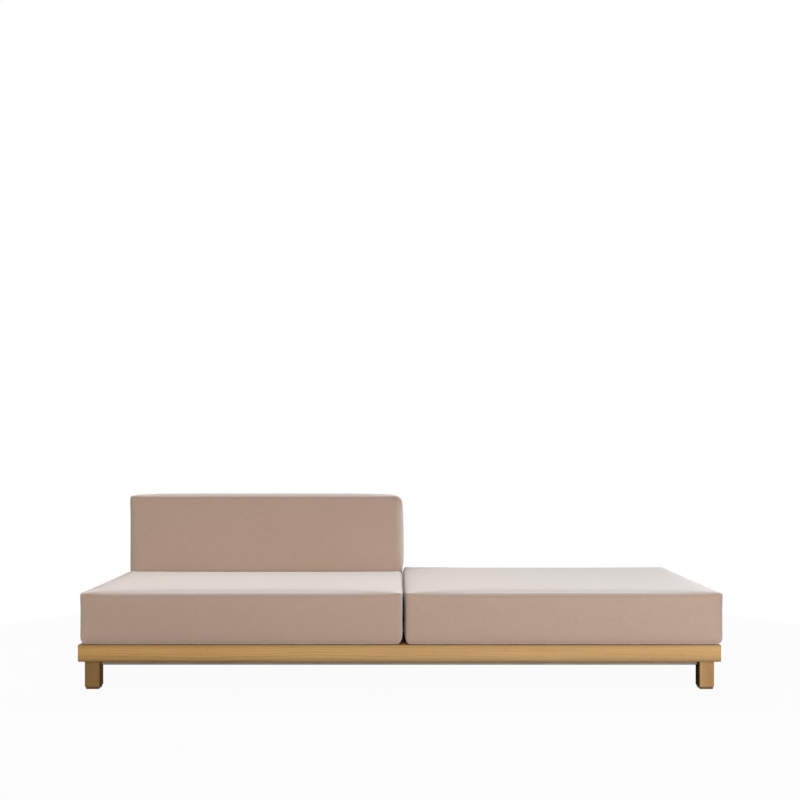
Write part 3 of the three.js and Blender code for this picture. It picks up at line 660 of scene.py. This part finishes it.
def box_net(xs, ys, zs):
    """The points and squares of a closed box of net lines, and each point's place in the net."""
    counts = (len(xs) - 1, len(ys) - 1, len(zs) - 1)
    ids = {}

    def point(*place):
        return ids.setdefault(place, len(ids))

    squares = []
    for axis in range(3):
        first, second = [a for a in range(3) if a != axis]
        for side in (0, counts[axis]):
            for i in range(counts[first]):
                for j in range(counts[second]):
                    ring = []
                    for step_i, step_j in ((0, 0), (1, 0), (1, 1), (0, 1)):
                        place = [0, 0, 0]
                        place[axis], place[first], place[second] = side, i + step_i, j + step_j
                        ring.append(point(*place))
                    outwards = (side > 0) != (axis == 1)
                    squares.append(ring if outwards else ring[::-1])
    places = np.array(list(ids))
    points = np.stack([xs[places[:, 0]], ys[places[:, 1]], zs[places[:, 2]]], axis=1)
    return points, squares, places


def round_share(p, q):
    """By what share a point of a square ring, at p and q from its centre, moves in to a round one."""
    length = np.hypot(p, q)
    reach = np.maximum(np.abs(p), np.abs(q))
    return np.divide(reach, length, out=np.ones_like(length), where=length > 0)


def rounded_pair(a, b, radius):
    """Moves points of a square corner on to a round one, where a and b are distances from its two faces."""
    p, q = np.maximum(radius - a, 0), np.maximum(radius - b, 0)
    share = round_share(p, q)
    inside = (p > 0) & (q > 0)
    return np.where(inside, radius - p * share, a), np.where(inside, radius - q * share, b)


def fullness(share, power):
    """All in the middle, nothing at the ends, for a share from -1 to 1."""
    return np.maximum(0, 1 - np.abs(share) ** power)


def eased(share):
    """A climb from 0 to 1 that starts and ends softly, and stays there outside."""
    share = np.clip(share, 0, 1)
    return share**2 * (3 - 2 * share)


print("patterns:", list(CUSHIONS))

# %% [markdown]
# ## From net to cushion
# The same function shapes all three cushions. The rounding of the plan corners comes after that of the
# edges, so that the two meet in a ball-like corner, as the tightly pulled corner of a real cover does.

# %% Shape a cushion


def overhang(z, height, pattern):
    """How far the right end swells over the right seat, which holds it in lower down."""
    free = eased((z - OVERHANG_START) / (OVERHANG_FULL - OVERHANG_START))
    level = fullness((z - OVERHANG_MIDDLE) / (height - OVERHANG_MIDDLE), 2)
    return pattern.get("overhang", 0) * free * level


def shaped_cushion(size, pattern):
    """The points of a cushion of this size in millimetres, from the middle of its bottom."""
    half_x, half_y, height = size[0] / 2, size[1] / 2, size[2]
    top_steps = [step for step in EDGE_STEPS if step < pattern["top_radius"] - 1]
    top_steps.append(pattern["top_radius"])
    zs = net_levels(height, top_steps)
    points, squares, places = box_net(spaced(half_x, EDGE_STEPS), spaced(half_y, EDGE_STEPS), zs)
    x, y, z = points.T
    inward = np.minimum(half_x - np.abs(x), half_y - np.abs(y))
    tight = eased((np.abs(x) - half_x) / TIGHTENING + TIGHTENING_START)
    on_pressed_half = x * pattern["pressed_end"] > 0
    end_radius = np.where(on_pressed_half, pattern["pressed_top_radius"], pattern["free_top_radius"])
    top_radius = pattern["top_radius"] + (end_radius - pattern["top_radius"]) * tight
    inset, drop = rounded_pair(inward, height - z, top_radius)
    inset, rise = rounded_pair(inset, height - drop, BOTTOM_RADIUS)
    z = rise
    x = x * (half_x - inset) / np.maximum(half_x - inward, 1e-6)
    y = y * (half_y - inset) / np.maximum(half_y - inward, 1e-6)
    up = np.clip(z / height, 0, 1)
    radius = PLAN_RADIUS + WAIST_ROUNDING * np.sin(np.pi * up)
    radius = np.where(on_pressed_half, pattern["pressed_rounding"], radius)
    core_x = np.clip(x, radius - half_x, half_x - radius)
    core_y = np.clip(y, radius - half_y, half_y - radius)
    dx, dy = x - core_x, y - core_y
    share = round_share(dx, dy)
    x, y = core_x + dx * share, core_y + dy * share
    along_x = x / (half_x - PLAN_RADIUS)
    along_y = y / (half_y - PLAN_RADIUS)
    near_end = np.clip(1 - (half_x - np.abs(x)) / SEAM_FADE, 0, 1) ** 2
    near_side = np.clip(1 - (half_y - np.abs(y)) / SEAM_FADE, 0, 1) ** 2
    waist = np.sin(np.pi * up) * (places[:, 2] > 0) * (places[:, 2] < len(zs) - 1)
    bulge = pattern["bulge"]
    side_bulge = np.where(y < 0, bulge["front"], bulge["rear"])
    drawn = pattern["draw_in"] * up**2
    full_x, full_y = fullness(along_x, BULGE_POWER), fullness(along_y, BULGE_POWER)
    y_push = side_bulge * waist * full_x - drawn * fullness(along_x, DRAW_POWER)
    x_push = waist * (bulge["end"] * full_y + END_PUFF) - drawn * fullness(along_y, DRAW_POWER)
    pressed = pattern["press"] * fullness(2 * up - 1, PRESS_RISE_POWER) * fullness(along_y, PRESS_POWER)
    pressed += overhang(z, height, pattern) * full_y
    x_push = np.where(on_pressed_half, pressed, x_push)
    crown_x = fullness(x / (half_x - pattern["top_radius"]), pattern["crown_powers"][1])
    crown_y = fullness(y / (half_y - pattern["top_radius"]), pattern["crown_powers"][0])
    crowned = pattern["crown"] * crown_x * crown_y * (places[:, 2] == len(zs) - 1)
    x, y = x + np.sign(x) * near_end * x_push, y + np.sign(y) * near_side * y_push
    return np.stack([x, y, z + crowned], axis=1), squares, places


def new_piece(name, points, faces, finish, body):
    """A smooth-shaded mesh that rides on a body; points are in metres in the divan's frame."""
    mesh = bpy.data.meshes.new(name)
    mesh.from_pydata([tuple(point) for point in points], [], faces)
    mesh.polygons.foreach_set("use_smooth", [True] * len(mesh.polygons))
    mesh.materials.append(finish)
    piece = put(mesh)
    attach(piece, body)
    return piece


def cover_size(name):
    """The seam-to-seam size of a plain cushion, in millimetres, and the middle of its bottom in metres."""
    pattern = CUSHIONS[name]
    low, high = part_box(f"{name}_cover")
    proud = {side: max(0, bulge - pattern["draw_in"] / 4) * MM for side, bulge in pattern["bulge"].items()}
    front, rear, end = proud["front"], proud["rear"], proud["end"]
    size = ((high.x - low.x - 2 * end) / MM, (high.y - low.y - front - rear) / MM)
    height = (high.z - low.z) / MM - pattern["crown"]
    middle = Vector(((low.x + high.x) / 2, (low.y + front + high.y - rear) / 2, low.z))
    return (*size, height), middle


cushions = {}
for name, pattern in CUSHIONS.items():
    size, middle = cover_size(name)
    points, squares, places = shaped_cushion(size, pattern)
    piece = new_piece(f"{name}_upholstery", points * MM + np.array(middle), squares, cloth, name)
    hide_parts(f"{name}_cover", f"{name}_foam")
    cushions[name] = {"piece": piece, "size": size, "middle": middle, "places": places}
    cushions[name]["zip"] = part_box(f"{name}_zip")
    print(name, "seam to seam in mm:", [round(value, 1) for value in size], "net points:", len(points))

# %% [markdown]
# ## Filling the covers
# A cover is cut slightly small and the foam is pushed into it, so its panels swell between the seams. The
# swelling could be drawn with a formula, but then all panels would look alike. Here the cover is a cloth
# that a gentle pressure blows up for twenty steps, while the seams and the bottom panel are held. Foam is
# firm, so each point is then let out by two millimetres at most, softly, which keeps the crisp box that
# good foam gives. Beside a neighbour the cover isn't let out at all.

# %% Fill the covers
SWELL_FRAMES = 20
SWELL_PRESSURE = 4.0
SWELL_QUALITY = 5  # how many times the solver looks at each step
CLOTH_STIFFNESS, CLOTH_BENDING = 25, 2


def seam_lines(places):
    """Which points of the net lie on the top seam, on the bottom seam and on the two rear corner seams."""
    first, last = places == 0, places == places.max(axis=0)
    on_end = first[:, 0] | last[:, 0]
    on_side = on_end | first[:, 1] | last[:, 1]
    return on_side & last[:, 2], on_side & first[:, 2], on_end & last[:, 1]


def net_values(piece, kind="co"):
    """The places of a piece's points, or with another kind their normals, as an array."""
    values = np.zeros(len(piece.data.vertices) * 3)
    piece.data.vertices.foreach_get(kind, values)
    return values.reshape(-1, 3)


def set_points(piece, points):
    """Moves the points of a piece's mesh."""
    piece.data.vertices.foreach_set("co", points.ravel())
    piece.data.update()


def evaluated(piece):
    """A piece as it comes out of its modifiers."""
    return piece.evaluated_get(bpy.context.evaluated_depsgraph_get())


def swollen(piece, held):
    """The piece's points after twenty steps of gentle pressure, with the held points kept in place."""
    group = piece.vertex_groups.new(name="held")
    group.add([int(i) for i in np.flatnonzero(held)], 1.0, "REPLACE")
    cloth_step = piece.modifiers.new("filling", "CLOTH")
    settings = cloth_step.settings
    settings.vertex_group_mass = "held"
    settings.use_pressure = True
    settings.uniform_pressure_force = SWELL_PRESSURE
    settings.effector_weights.gravity = 0
    settings.tension_stiffness = settings.compression_stiffness = CLOTH_STIFFNESS
    settings.bending_stiffness = CLOTH_BENDING
    settings.quality = SWELL_QUALITY
    cloth_step.collision_settings.use_collision = False
    for step in range(1, SWELL_FRAMES + 1):
        bpy.context.scene.frame_set(step)
    points = net_values(evaluated(piece))
    piece.modifiers.remove(cloth_step)
    piece.vertex_groups.remove(group)
    bpy.context.scene.frame_set(1)
    return points


def let_out(before, after, room):
    """Moves each point towards its swollen place, by less than the room that it has."""
    way = after - before
    length = np.linalg.norm(way, axis=1, keepdims=True)
    share = np.divide(room * np.tanh(length / room), length, out=np.zeros_like(length), where=length > 0)
    return before + way * share


for name, pattern in CUSHIONS.items():
    cushion = cushions[name]
    piece, places = cushion["piece"], cushion["places"]
    before = net_values(piece)
    top, _, corner = seam_lines(places)
    on_top = places[:, 2] == places[:, 2].max()
    room = np.where(on_top, pattern["top_swell"], pattern["swell"])[:, None] * MM
    filled = let_out(before, swollen(piece, top | corner | (places[:, 2] == 0)), room)
    rear_room = pattern["swell"] * MM if pattern["bulge"]["rear"] else 0
    filled[:, 1] = np.minimum(filled[:, 1], before[:, 1].max() + rear_room)
    pressed = (before[:, 0] - cushion["middle"].x) * pattern["pressed_end"] > 0
    inner = np.minimum if pattern["pressed_end"] > 0 else np.maximum
    filled[pressed, 0] = inner(filled[pressed, 0], before[pressed, 0])
    filled[:, 2] = np.maximum(filled[:, 2], before[:, 2].min())
    set_points(piece, filled)
    print(name, "swelled by up to", round(float(np.abs(filled - before).max()) / MM, 2), "mm")

# %% [markdown]
# ## Sewing
# Along a seam the thread pulls both panels inwards, so the surface dips in a narrow valley, and small
# puckers run out from it where the cloth has been eased in. The valley follows the seam's own line of the
# net. One subdivision then rounds everything, and the puckers are pressed in last, because they are finer
# than the net. Behind, the bottom edge opens in a shallow bed for the zip.

# %% Sew the covers
SEAM_DEPTH = 0.8
PUCKER_DEPTH = 0.34
PUCKER_REACH = 16.0  # how fast the puckers fade, in millimetres from the seam
PUCKER_LENGTHS = (13, 19, 29, 47)
RIPPLE_GAIN = 1.4  # waves of four lengths seldom meet, so their mean is raised
RESTING_HEIGHT = 1.5  # below this the cushion lies on the slats, and stays flat
ZIP_BED_RADIUS = 16.0  # from the centre of the bottom edge's rounding
ZIP_BED_HALF_ANGLE = math.radians(13.5)
ZIP_HOLD_FADE = 40.0  # how far past its ends the zip still keeps the edge round


def seam_valleys(piece, lines, depth):
    """Pulls the points of the seams into the cushion."""
    points = net_values(piece)
    points[lines] -= net_values(piece, "normal")[lines] * depth * MM
    set_points(piece, points)


def round_the_edge(points, cushion):
    """Points seen from the middle of the rear bottom edge's rounding, and how firmly the zip holds them."""
    low, high = cushion["zip"]
    centre_y = cushion["middle"].y + (cushion["size"][1] / 2 - BOTTOM_RADIUS) * MM
    centre_z = cushion["middle"].z + BOTTOM_RADIUS * MM
    out, down = points[:, 1] - centre_y, centre_z - points[:, 2]
    past = np.maximum(np.maximum(low.x - points[:, 0], points[:, 0] - high.x), 0) / MM
    hold = np.clip(1 - past / ZIP_HOLD_FADE, 0, 1) * (out > -MM) * (down > -MM)
    return out, down, hold, past


def zip_bed(piece, cushion):
    """Presses a shallow bed for the zip into the rear bottom edge, and keeps the edge round beside it."""
    points = net_values(piece)
    out, down, hold, past = round_the_edge(points, cushion)
    in_bed = (np.abs(np.arctan2(down, out) - math.pi / 4) < ZIP_BED_HALF_ANGLE) & (past < 2)
    radius = np.where(in_bed, ZIP_BED_RADIUS, BOTTOM_RADIUS) * MM
    share = hold * (radius / np.maximum(np.hypot(out, down), MM) - 1)
    points[:, 1] += out * share
    points[:, 2] -= down * share
    set_points(piece, points)


def subdivided(piece):
    """Replaces a piece's mesh by its once subdivided one."""
    step = piece.modifiers.new("rounding", "SUBSURF")
    step.levels = step.render_levels = 1
    mesh = bpy.data.meshes.new_from_object(evaluated(piece))
    piece.modifiers.remove(step)
    old, piece.data = piece.data, mesh
    bpy.data.meshes.remove(old)


def ripple(place, dice):
    """A smooth random wave along a seam, from -1 to 1 or so."""
    waves = [np.sin(2 * math.pi * place / length + dice.uniform(0, 6.28)) for length in PUCKER_LENGTHS]
    return sum(waves) / len(waves) * RIPPLE_GAIN


def press_puckers(piece, cushion, seed):
    """Small folds that start at the seams and fade into the panels."""
    dice = np.random.default_rng(seed)
    points = net_values(piece)
    normals = net_values(piece, "normal")
    half_x, half_y, height = cushion["size"][0] / 2, cushion["size"][1] / 2, cushion["size"][2]
    x, y, z = (points - np.array(cushion["middle"])).T / MM
    from_side = np.maximum(np.minimum(half_x - np.abs(x), half_y - np.abs(y)), 0)
    on_end = half_x - np.abs(x) < half_y - np.abs(y)
    along = np.where(on_end, y, x)
    to_top = np.hypot(from_side, np.maximum(height - z, 0))
    to_bottom = np.hypot(from_side, np.maximum(z, 0))
    push = ripple(along, dice) * np.exp(-to_top / PUCKER_REACH)
    push += ripple(along, dice) * np.exp(-to_bottom / PUCKER_REACH) * (z > BOTTOM_RADIUS / 3)
    push[z < RESTING_HEIGHT] = 0
    push *= 1 - round_the_edge(points, cushion)[2]
    moved = points + normals * (push * PUCKER_DEPTH * MM)[:, None]
    moved[:, 2] = np.maximum(moved[:, 2], cushion["middle"].z)
    set_points(piece, moved)


for seed, (name, cushion) in enumerate(cushions.items()):
    piece = cushion["piece"]
    top, bottom, corner = seam_lines(cushion["places"])
    seam_valleys(piece, top | bottom | corner, SEAM_DEPTH)
    zip_bed(piece, cushion)
    subdivided(piece)
    press_puckers(piece, cushion, seed)
    print(name, "sewn, points:", len(piece.data.vertices))

# %% [markdown]
# ## Skins over rings
# The small parts that follow, such as zip teeth, stitches and screw heads, are all made one way. Rings of
# points are laid one after another, and a skin is stretched over them and closed at both ends. A kit of
# such parts is then joined into one mesh, because a thousand separate objects would slow everything down.

# %% Skins over rings
CREASE = math.radians(38)  # edges sharper than this stay crisp
ROD_SIDES = 6
ROD_TAPER, ROD_TIP = 0.7, 0.45  # length of a rod's rounded end and size of its tip, in radii


def lofted(rings):
    """A closed skin over rings of points; each ring turns like a right-handed screw along the way."""
    rings = np.asarray(rings, dtype=float)
    count = rings.shape[1]
    faces = []
    for start in range(0, (len(rings) - 1) * count, count):
        for k in range(count):
            after = (k + 1) % count
            faces.append((start + k, start + after, start + count + after, start + count + k))
    faces.append(tuple(reversed(range(count))))
    faces.append(tuple(range((len(rings) - 1) * count, len(rings) * count)))
    return rings.reshape(-1, 3), faces


def capsule(length, radius):
    """A short rod along X with rounded ends, in millimetres."""
    circle = [(math.cos(a), math.sin(a)) for a in np.arange(ROD_SIDES) * 2 * math.pi / ROD_SIDES]
    tip, full, small = 0.5 * length, 0.5 * length - ROD_TAPER * radius, ROD_TIP * radius
    levels = [(-tip, small), (-full, radius), (full, radius), (tip, small)]
    return lofted([[(x, r * a, r * b) for a, b in circle] for x, r in levels])


def chamfered_block(size, chamfer):
    """A block with its edges taken off, centred, in millimetres."""
    half_x, half_y, half_z = [value / 2 for value in size]

    def ring(x, inset):
        y, z, c = half_y - inset, half_z - inset, chamfer
        return [(x, y, c - z), (x, y, z - c), (x, y - c, z), (x, c - y, z),
                (x, -y, z - c), (x, -y, c - z), (x, c - y, -z), (x, y - c, -z)]

    levels = [(-half_x, chamfer / 2), (chamfer - half_x, 0), (half_x - chamfer, 0), (half_x, chamfer / 2)]
    return lofted([ring(x, inset) for x, inset in levels])


def spun(part, angle):
    """A part turned about its own Z axis."""
    points, faces = part
    c, s = math.cos(angle), math.sin(angle)
    return points @ np.array([[c, s, 0], [-s, c, 0], [0, 0, 1]]), faces


def copies(part, places):
    """One part repeated at many places."""
    points, faces = part
    moved = [points + np.asarray(place) for place in places]
    all_faces = [tuple(i + n * len(points) for i in face) for n in range(len(moved)) for face in faces]
    return np.concatenate(moved), all_faces


def joined_piece(name, parts, body):
    """One piece from parts given as (points in metres, faces, finish)."""
    points, faces, finish_of_face, finishes, start = [], [], [], [], 0
    for part_points, part_faces, finish in parts:
        if finish not in finishes:
            finishes.append(finish)
        points.append(part_points)
        faces += [tuple(i + start for i in face) for face in part_faces]
        finish_of_face += [finishes.index(finish)] * len(part_faces)
        start += len(part_points)
    piece = new_piece(name, np.concatenate(points), faces, finishes[0], body)
    for finish in finishes[1:]:
        piece.data.materials.append(finish)
    piece.data.polygons.foreach_set("material_index", finish_of_face)
    piece.data.set_sharp_from_angle(angle=CREASE)
    return piece


print("a stitch has", len(capsule(2.3, 0.3)[0]), "points")

# %% [markdown]
# ## Zips
# Each cover opens along its rear bottom edge, where the zip lies in the bed that was pressed above. A zip
# has a woven tape, a nylon coil that looks like a row of small bars, a metal stop at each end, and a
# slider. Along it the cover is topstitched, and a few stitches cross its ends. All of it is laid out flat,
# with one axis along the zip, one across it and one out of the cushion, and then wrapped on the edge.

# %% Zip finishes
ZIP_TAPE = linear(128, 102, 86)
ZIP_TAPE_DEEP = linear(104, 80, 66)
ZIP_COIL = linear(146, 120, 102)
THREAD = linear(206, 184, 168)
THREAD_DEEP = linear(170, 145, 128)


def ribbed_finish(name, pale, deep, rate, roughness, depth):
    """A small textile or nylon part, ribbed along its length."""
    material, tree, shader = new_finish(name, Roughness=roughness, Specular_IOR_Level=0.35)
    x = split(tree, place_in(tree))[0]
    ribs = calculate(tree, "SINE", calculate(tree, "MULTIPLY", x, 2 * math.pi * rate))
    tint = calculate(tree, "MULTIPLY_ADD", ribs, 0.3, object_noise(tree, 900))
    linked(tree, shader, Base_Color=blended(tree, ramp(tree, tint, 0.2, 0.8), deep, pale))
    raised(tree, shader, ribs, 0.5, depth)
    return material


zip_tape_finish = ribbed_finish("zip_tape_cloth", ZIP_TAPE, ZIP_TAPE_DEEP, 900, 0.9, 0.1 * MM)
zip_coil_finish = ribbed_finish("zip_coil_nylon", ZIP_COIL, ZIP_TAPE, 300, 0.42, 0.02 * MM)
thread_finish = ribbed_finish("sewing_thread", THREAD, THREAD_DEEP, 1600, 0.7, 0.06 * MM)
print("zip tape, coil and thread finishes made")

# %% [markdown]
# ## Laying the zips
# A real coil is one filament wound round a cord, and as a tube it would cost a hundred thousand faces. At
# the distance of a hand only its upper side shows, and there it looks like two rows of slanting bars that
# interlock. So each bar is a short rod with rounded ends. The tape is a flat profile drawn out along the
# zip, and each stitch is a rod as well, sunk in the cloth to half its thickness.

# %% Lay the zips
TAPE_TOP = 18.05  # from the centre of the edge's rounding, in millimetres
TAPE_PROFILE = ((-4.2, 16.6), (-4.2, 17.85), (-3.95, 18.05), (-1.7, 18.05), (-1.45, 17.85),
                (1.45, 17.85), (1.7, 18.05), (3.95, 18.05), (4.2, 17.85), (4.2, 16.6))
COIL_PITCH = 1.5
COIL_OUT = 18.7
COIL_BAR = (3.0, 0.5)  # length across, and radius
COIL_SLANT = math.radians(9)
STOP_SIZE = (4, 5, 1.6)
STITCH_PITCH = 3.4
STITCH = (2.4, 0.3)
STITCH_ANGLE = math.radians(19.5)  # round the edge, from the middle of the zip
CROSSING_REACH = 0.66  # how far the crossing stitches reach towards the two rows
CROSSING_GAP = 3  # from the zip's end
DIAGONAL = math.sqrt(0.5)


def on_the_edge(cushion, points):
    """Places points given along the zip, across it and out from the centre of the edge's rounding."""
    along, across, out = np.asarray(points, dtype=float).T
    centre_y = cushion["middle"].y / MM + cushion["size"][1] / 2 - BOTTOM_RADIUS
    centre_z = cushion["middle"].z / MM + BOTTOM_RADIUS
    y = centre_y + (out - across) * DIAGONAL
    z = centre_z - (out + across) * DIAGONAL
    return np.stack([along, y, z], axis=1) * MM


def zip_parts(start, end):
    """The tape, the coil's bars and the two stops between two ends, each with its finish."""
    tape = lofted([[(x, across, out) for across, out in reversed(TAPE_PROFILE)] for x in (start, end)])
    first, last = start + STOP_SIZE[0], end - STOP_SIZE[0]
    count = int((last - first) / COIL_PITCH)
    bars = []
    for row, slant in enumerate((-COIL_SLANT, COIL_SLANT)):
        xs = first + COIL_PITCH * (np.arange(row, count, 2) + 0.5)
        bars.append(copies(spun(capsule(*COIL_BAR), math.pi / 2 + slant), [(x, 0, COIL_OUT) for x in xs]))
    stop_out = TAPE_TOP + STOP_SIZE[2] / 2 - 0.1
    stop_places = [(x, 0, stop_out) for x in (start + STOP_SIZE[0] / 2, end - STOP_SIZE[0] / 2)]
    stops = copies(chamfered_block(STOP_SIZE, 0.4), stop_places)
    return [(*tape, zip_tape_finish), *[(*bar, zip_coil_finish) for bar in bars], (*stops, zinc)]


def stitch_parts(start, end):
    """Two rows of stitches along the zip, and four stitches across each of its ends."""
    across, out = BOTTOM_RADIUS * math.sin(STITCH_ANGLE), BOTTOM_RADIUS * math.cos(STITCH_ANGLE)
    count = int((end - start) / STITCH_PITCH)
    xs = start + STITCH_PITCH * (np.arange(count) + 0.5)
    rows = [(x, side * across, out) for side in (-1, 1) for x in xs]
    crossing = spun(capsule(*STITCH), math.pi / 2)
    angles = np.linspace(-CROSSING_REACH, CROSSING_REACH, 4) * STITCH_ANGLE
    arc = [(BOTTOM_RADIUS * math.sin(a), BOTTOM_RADIUS * math.cos(a)) for a in angles]
    ends = [(x, *place) for x in (start - CROSSING_GAP, end + CROSSING_GAP) for place in arc]
    return [copies(capsule(*STITCH), rows), copies(crossing, ends)]


for name, cushion in cushions.items():
    low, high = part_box(f"{name}_zip")
    start, end = low.x / MM, high.x / MM
    parts = [(on_the_edge(cushion, points), *rest) for points, *rest in zip_parts(start, end)]
    zip_piece = joined_piece(f"{name}_zip_detail", parts, name)
    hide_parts(f"{name}_zip")
    rows = stitch_parts(start, end)
    sewn = [(on_the_edge(cushion, points), faces, thread_finish) for points, faces in rows]
    stitches = joined_piece(f"{name}_topstitching", sewn, name)
    print(name, "zip of", round(end - start), "mm, points:", len(zip_piece.data.vertices))

# %% [markdown]
# ## Sliders
# A slider is a small die-cast body that straddles the coil, with a bridge on its back, and a stamped pull
# that hangs on the bridge. Flat stamped parts are easiest from a filled curve, which takes an outline with
# holes and rounds its rims. It is turned into a mesh at once, and then laid on the zip like the rest.

# %% Sliders
# Halves of outlines that are alike on both sides of the zip, and the whole outline of the pull's window.
BODY_HALF = ((-5, -2.2), (-4.4, -2.7), (1, -3.3), (4.2, -3.5), (5, -2.9), (5, -0.9), (4.3, -0.4))
PULL_HALF = ((-2, -1.5), (-1.5, -1.9), (3, -1.6), (8, -1.9), (11, -2.5), (16, -2.5), (17.6, -1.9), (18, -0.8))
EYE_HALF = ((-1.1, -0.95), (1.3, -0.95))
PULL_WINDOW = ((11, -1.1), (15.6, -1.1), (16.4, -0.5), (16.4, 0.5), (15.6, 1.1), (11, 1.1),
               (10.3, 0.5), (10.3, -0.5))
BODY_PLATE = (19.55, 20.35)  # from the centre of the edge's rounding
BODY_HALF_LENGTH = 5
RIM = 0.2  # how far the rims of stamped and cast parts are rounded
FLANGE_SIZE = (8, 0.7, 1.4)
FLANGE_PLACE = (-0.6, 2.35)  # along the zip, and to either side of it
FLANGE_SINK, BRIDGE_SINK = 0.3, 0.2  # into the body
BRIDGE_WIDTH, BRIDGE_THICKNESS = 1.5, 0.6
BRIDGE_REACH, BRIDGE_RISE = 3.0, 1.55
PULL_LEVEL = 21.4  # the middle of the pull's thickness
PULL_THICKNESS = 0.8


def mirrored(half):
    """A whole outline from the half of it on one side."""
    return [*half, *[(x, -y) for x, y in reversed(half)]]


def plate(outlines, thickness, level):
    """A flat part with rounded rims from its outline and the outlines of its holes, at this level."""
    curve = bpy.data.curves.new("plate", "CURVE")
    curve.dimensions = "2D"
    curve.fill_mode = "BOTH"
    curve.extrude = thickness / 2 - RIM
    curve.bevel_depth = RIM
    curve.bevel_resolution = 2
    curve.offset = -RIM
    for outline in outlines:
        spline = curve.splines.new("POLY")
        spline.points.add(len(outline) - 1)
        for point, (x, y) in zip(spline.points, outline):
            point.co = (x, y, 0, 1)
        spline.use_cyclic_u = True
    holder = put(curve)
    mesh = bpy.data.meshes.new_from_object(evaluated(holder))
    shell = bmesh.new()
    shell.from_mesh(mesh)
    bmesh.ops.remove_doubles(shell, verts=shell.verts, dist=0.001)
    bmesh.ops.recalc_face_normals(shell, faces=shell.faces)
    points = np.array([tuple(vertex.co) for vertex in shell.verts])
    faces = [tuple(vertex.index for vertex in face.verts) for face in shell.faces]
    shell.free()
    bpy.data.objects.remove(holder)
    bpy.data.curves.remove(curve)
    bpy.data.meshes.remove(mesh)
    return points + [0, 0, level], faces


def bridge():
    """An arch of strip that the pull hangs on, from the body's back."""
    half_y, half_t = BRIDGE_WIDTH / 2, BRIDGE_THICKNESS / 2
    rings = []
    for angle in np.linspace(math.pi, 0, 9):
        way = (math.cos(angle), math.sin(angle))
        x, out = BRIDGE_REACH * way[0], BODY_PLATE[1] - BRIDGE_SINK + BRIDGE_RISE * way[1]
        ring = [(half_t, -half_y), (-half_t, -half_y), (-half_t, half_y), (half_t, half_y)]
        rings.append([(x + a * way[0], b, out + a * way[1]) for a, b in ring])
    return lofted(rings)


def slider_parts():
    """The body, its two flanges, its bridge and its pull, with the middle of the body at 0."""
    body = plate([mirrored(BODY_HALF)], BODY_PLATE[1] - BODY_PLATE[0], sum(BODY_PLATE) / 2)
    along, across = FLANGE_PLACE
    flange_out = BODY_PLATE[0] - FLANGE_SIZE[2] / 2 + FLANGE_SINK
    flange_places = [(along, side * across, flange_out) for side in (-1, 1)]
    flanges = copies(chamfered_block(FLANGE_SIZE, RIM), flange_places)
    pull = plate([mirrored(PULL_HALF), mirrored(EYE_HALF), PULL_WINDOW], PULL_THICKNESS, PULL_LEVEL)
    return [body, flanges, bridge(), pull]


for name, cushion in cushions.items():
    low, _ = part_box(f"{name}_zip_slider")
    middle_x = low.x / MM + BODY_HALF_LENGTH
    places = [(points + [middle_x, 0, 0], faces) for points, faces in slider_parts()]
    parts = [(on_the_edge(cushion, points), faces, zinc) for points, faces in places]
    slider = joined_piece(f"{name}_zip_slider_detail", parts, f"{name}_slider")
    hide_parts(f"{name}_zip_slider")
    print(name, "slider at x =", round(middle_x), "mm, points:", len(slider.data.vertices))

# %% [markdown]
# ## Slat screws
# Each slat is screwed down where it crosses a bearer, two screws to a crossing, so 108 in all. They are
# countersunk, with a cross recess, and stand hardly proud of the wood. A cushion lies on them, so a head
# may rise by less than the gap under the cushion. One head is made as rings: rim, flat and recess.

# %% Slat screws
HEAD_RADIUS = 3.6
HEAD_RISE = 0.2
# Radius and height of the head's foot, which lies in the wood, of its rim, and of the edge of its flat.
HEAD_LEVELS = ((HEAD_RADIUS + 0.15, -0.3), (HEAD_RADIUS, HEAD_RISE * 0.7), (HEAD_RADIUS - 0.35, HEAD_RISE))
RECESS_SIZE = (3.6, 0.75)
RECESS_DEPTH = 0.16
SCREW_FROM_EDGE = 17  # from a slat's long side to its screws


def screw_head():
    """A flat round head with a cross-shaped recess, its underside at 0, in millimetres."""
    arm, half = RECESS_SIZE[0] / 2, RECESS_SIZE[1] / 2
    cross = []
    for turn in range(4):
        c, s = round(math.cos(turn * math.pi / 2)), round(math.sin(turn * math.pi / 2))
        for x, y in ((half, -half), (arm, -half), (arm, half)):
            cross.append((c * x - s * y, s * x + c * y))
    cross = [point for a, b in zip(cross, cross[1:] + cross[:1]) for point in (a, tuple(np.add(a, b) / 2))]
    angles = [math.atan2(y, x) for x, y in cross]
    rim = [(math.cos(a), math.sin(a)) for a in angles]
    rings = [[(radius * x, radius * y, z) for x, y in rim] for radius, z in HEAD_LEVELS]
    rings.append([(x, y, HEAD_RISE) for x, y in cross])
    rings.append([(x * 0.9, y * 0.9, HEAD_RISE - RECESS_DEPTH) for x, y in cross])
    return lofted(rings)


bearers = ["front_bearer", "centre_bearer", "rear_bearer"]
bearer_places = [sum(corner.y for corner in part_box(name)) / 2 / MM for name in bearers]
deck_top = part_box("slat_01")[1].z / MM
head = screw_head()
dice = np.random.default_rng(5)
heads = []
for name in [name for name in timber_names if name.startswith("slat")]:
    low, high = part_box(name)
    for y in bearer_places:
        for x in (low.x / MM + SCREW_FROM_EDGE, high.x / MM - SCREW_FROM_EDGE):
            heads.append(copies(spun(head, dice.uniform(0, math.pi / 2)), [(x, y, deck_top)]))
screws = joined_piece("slat_screws", [(points * MM, faces, zinc) for points, faces in heads], "frame")
print("slat screws:", len(heads))
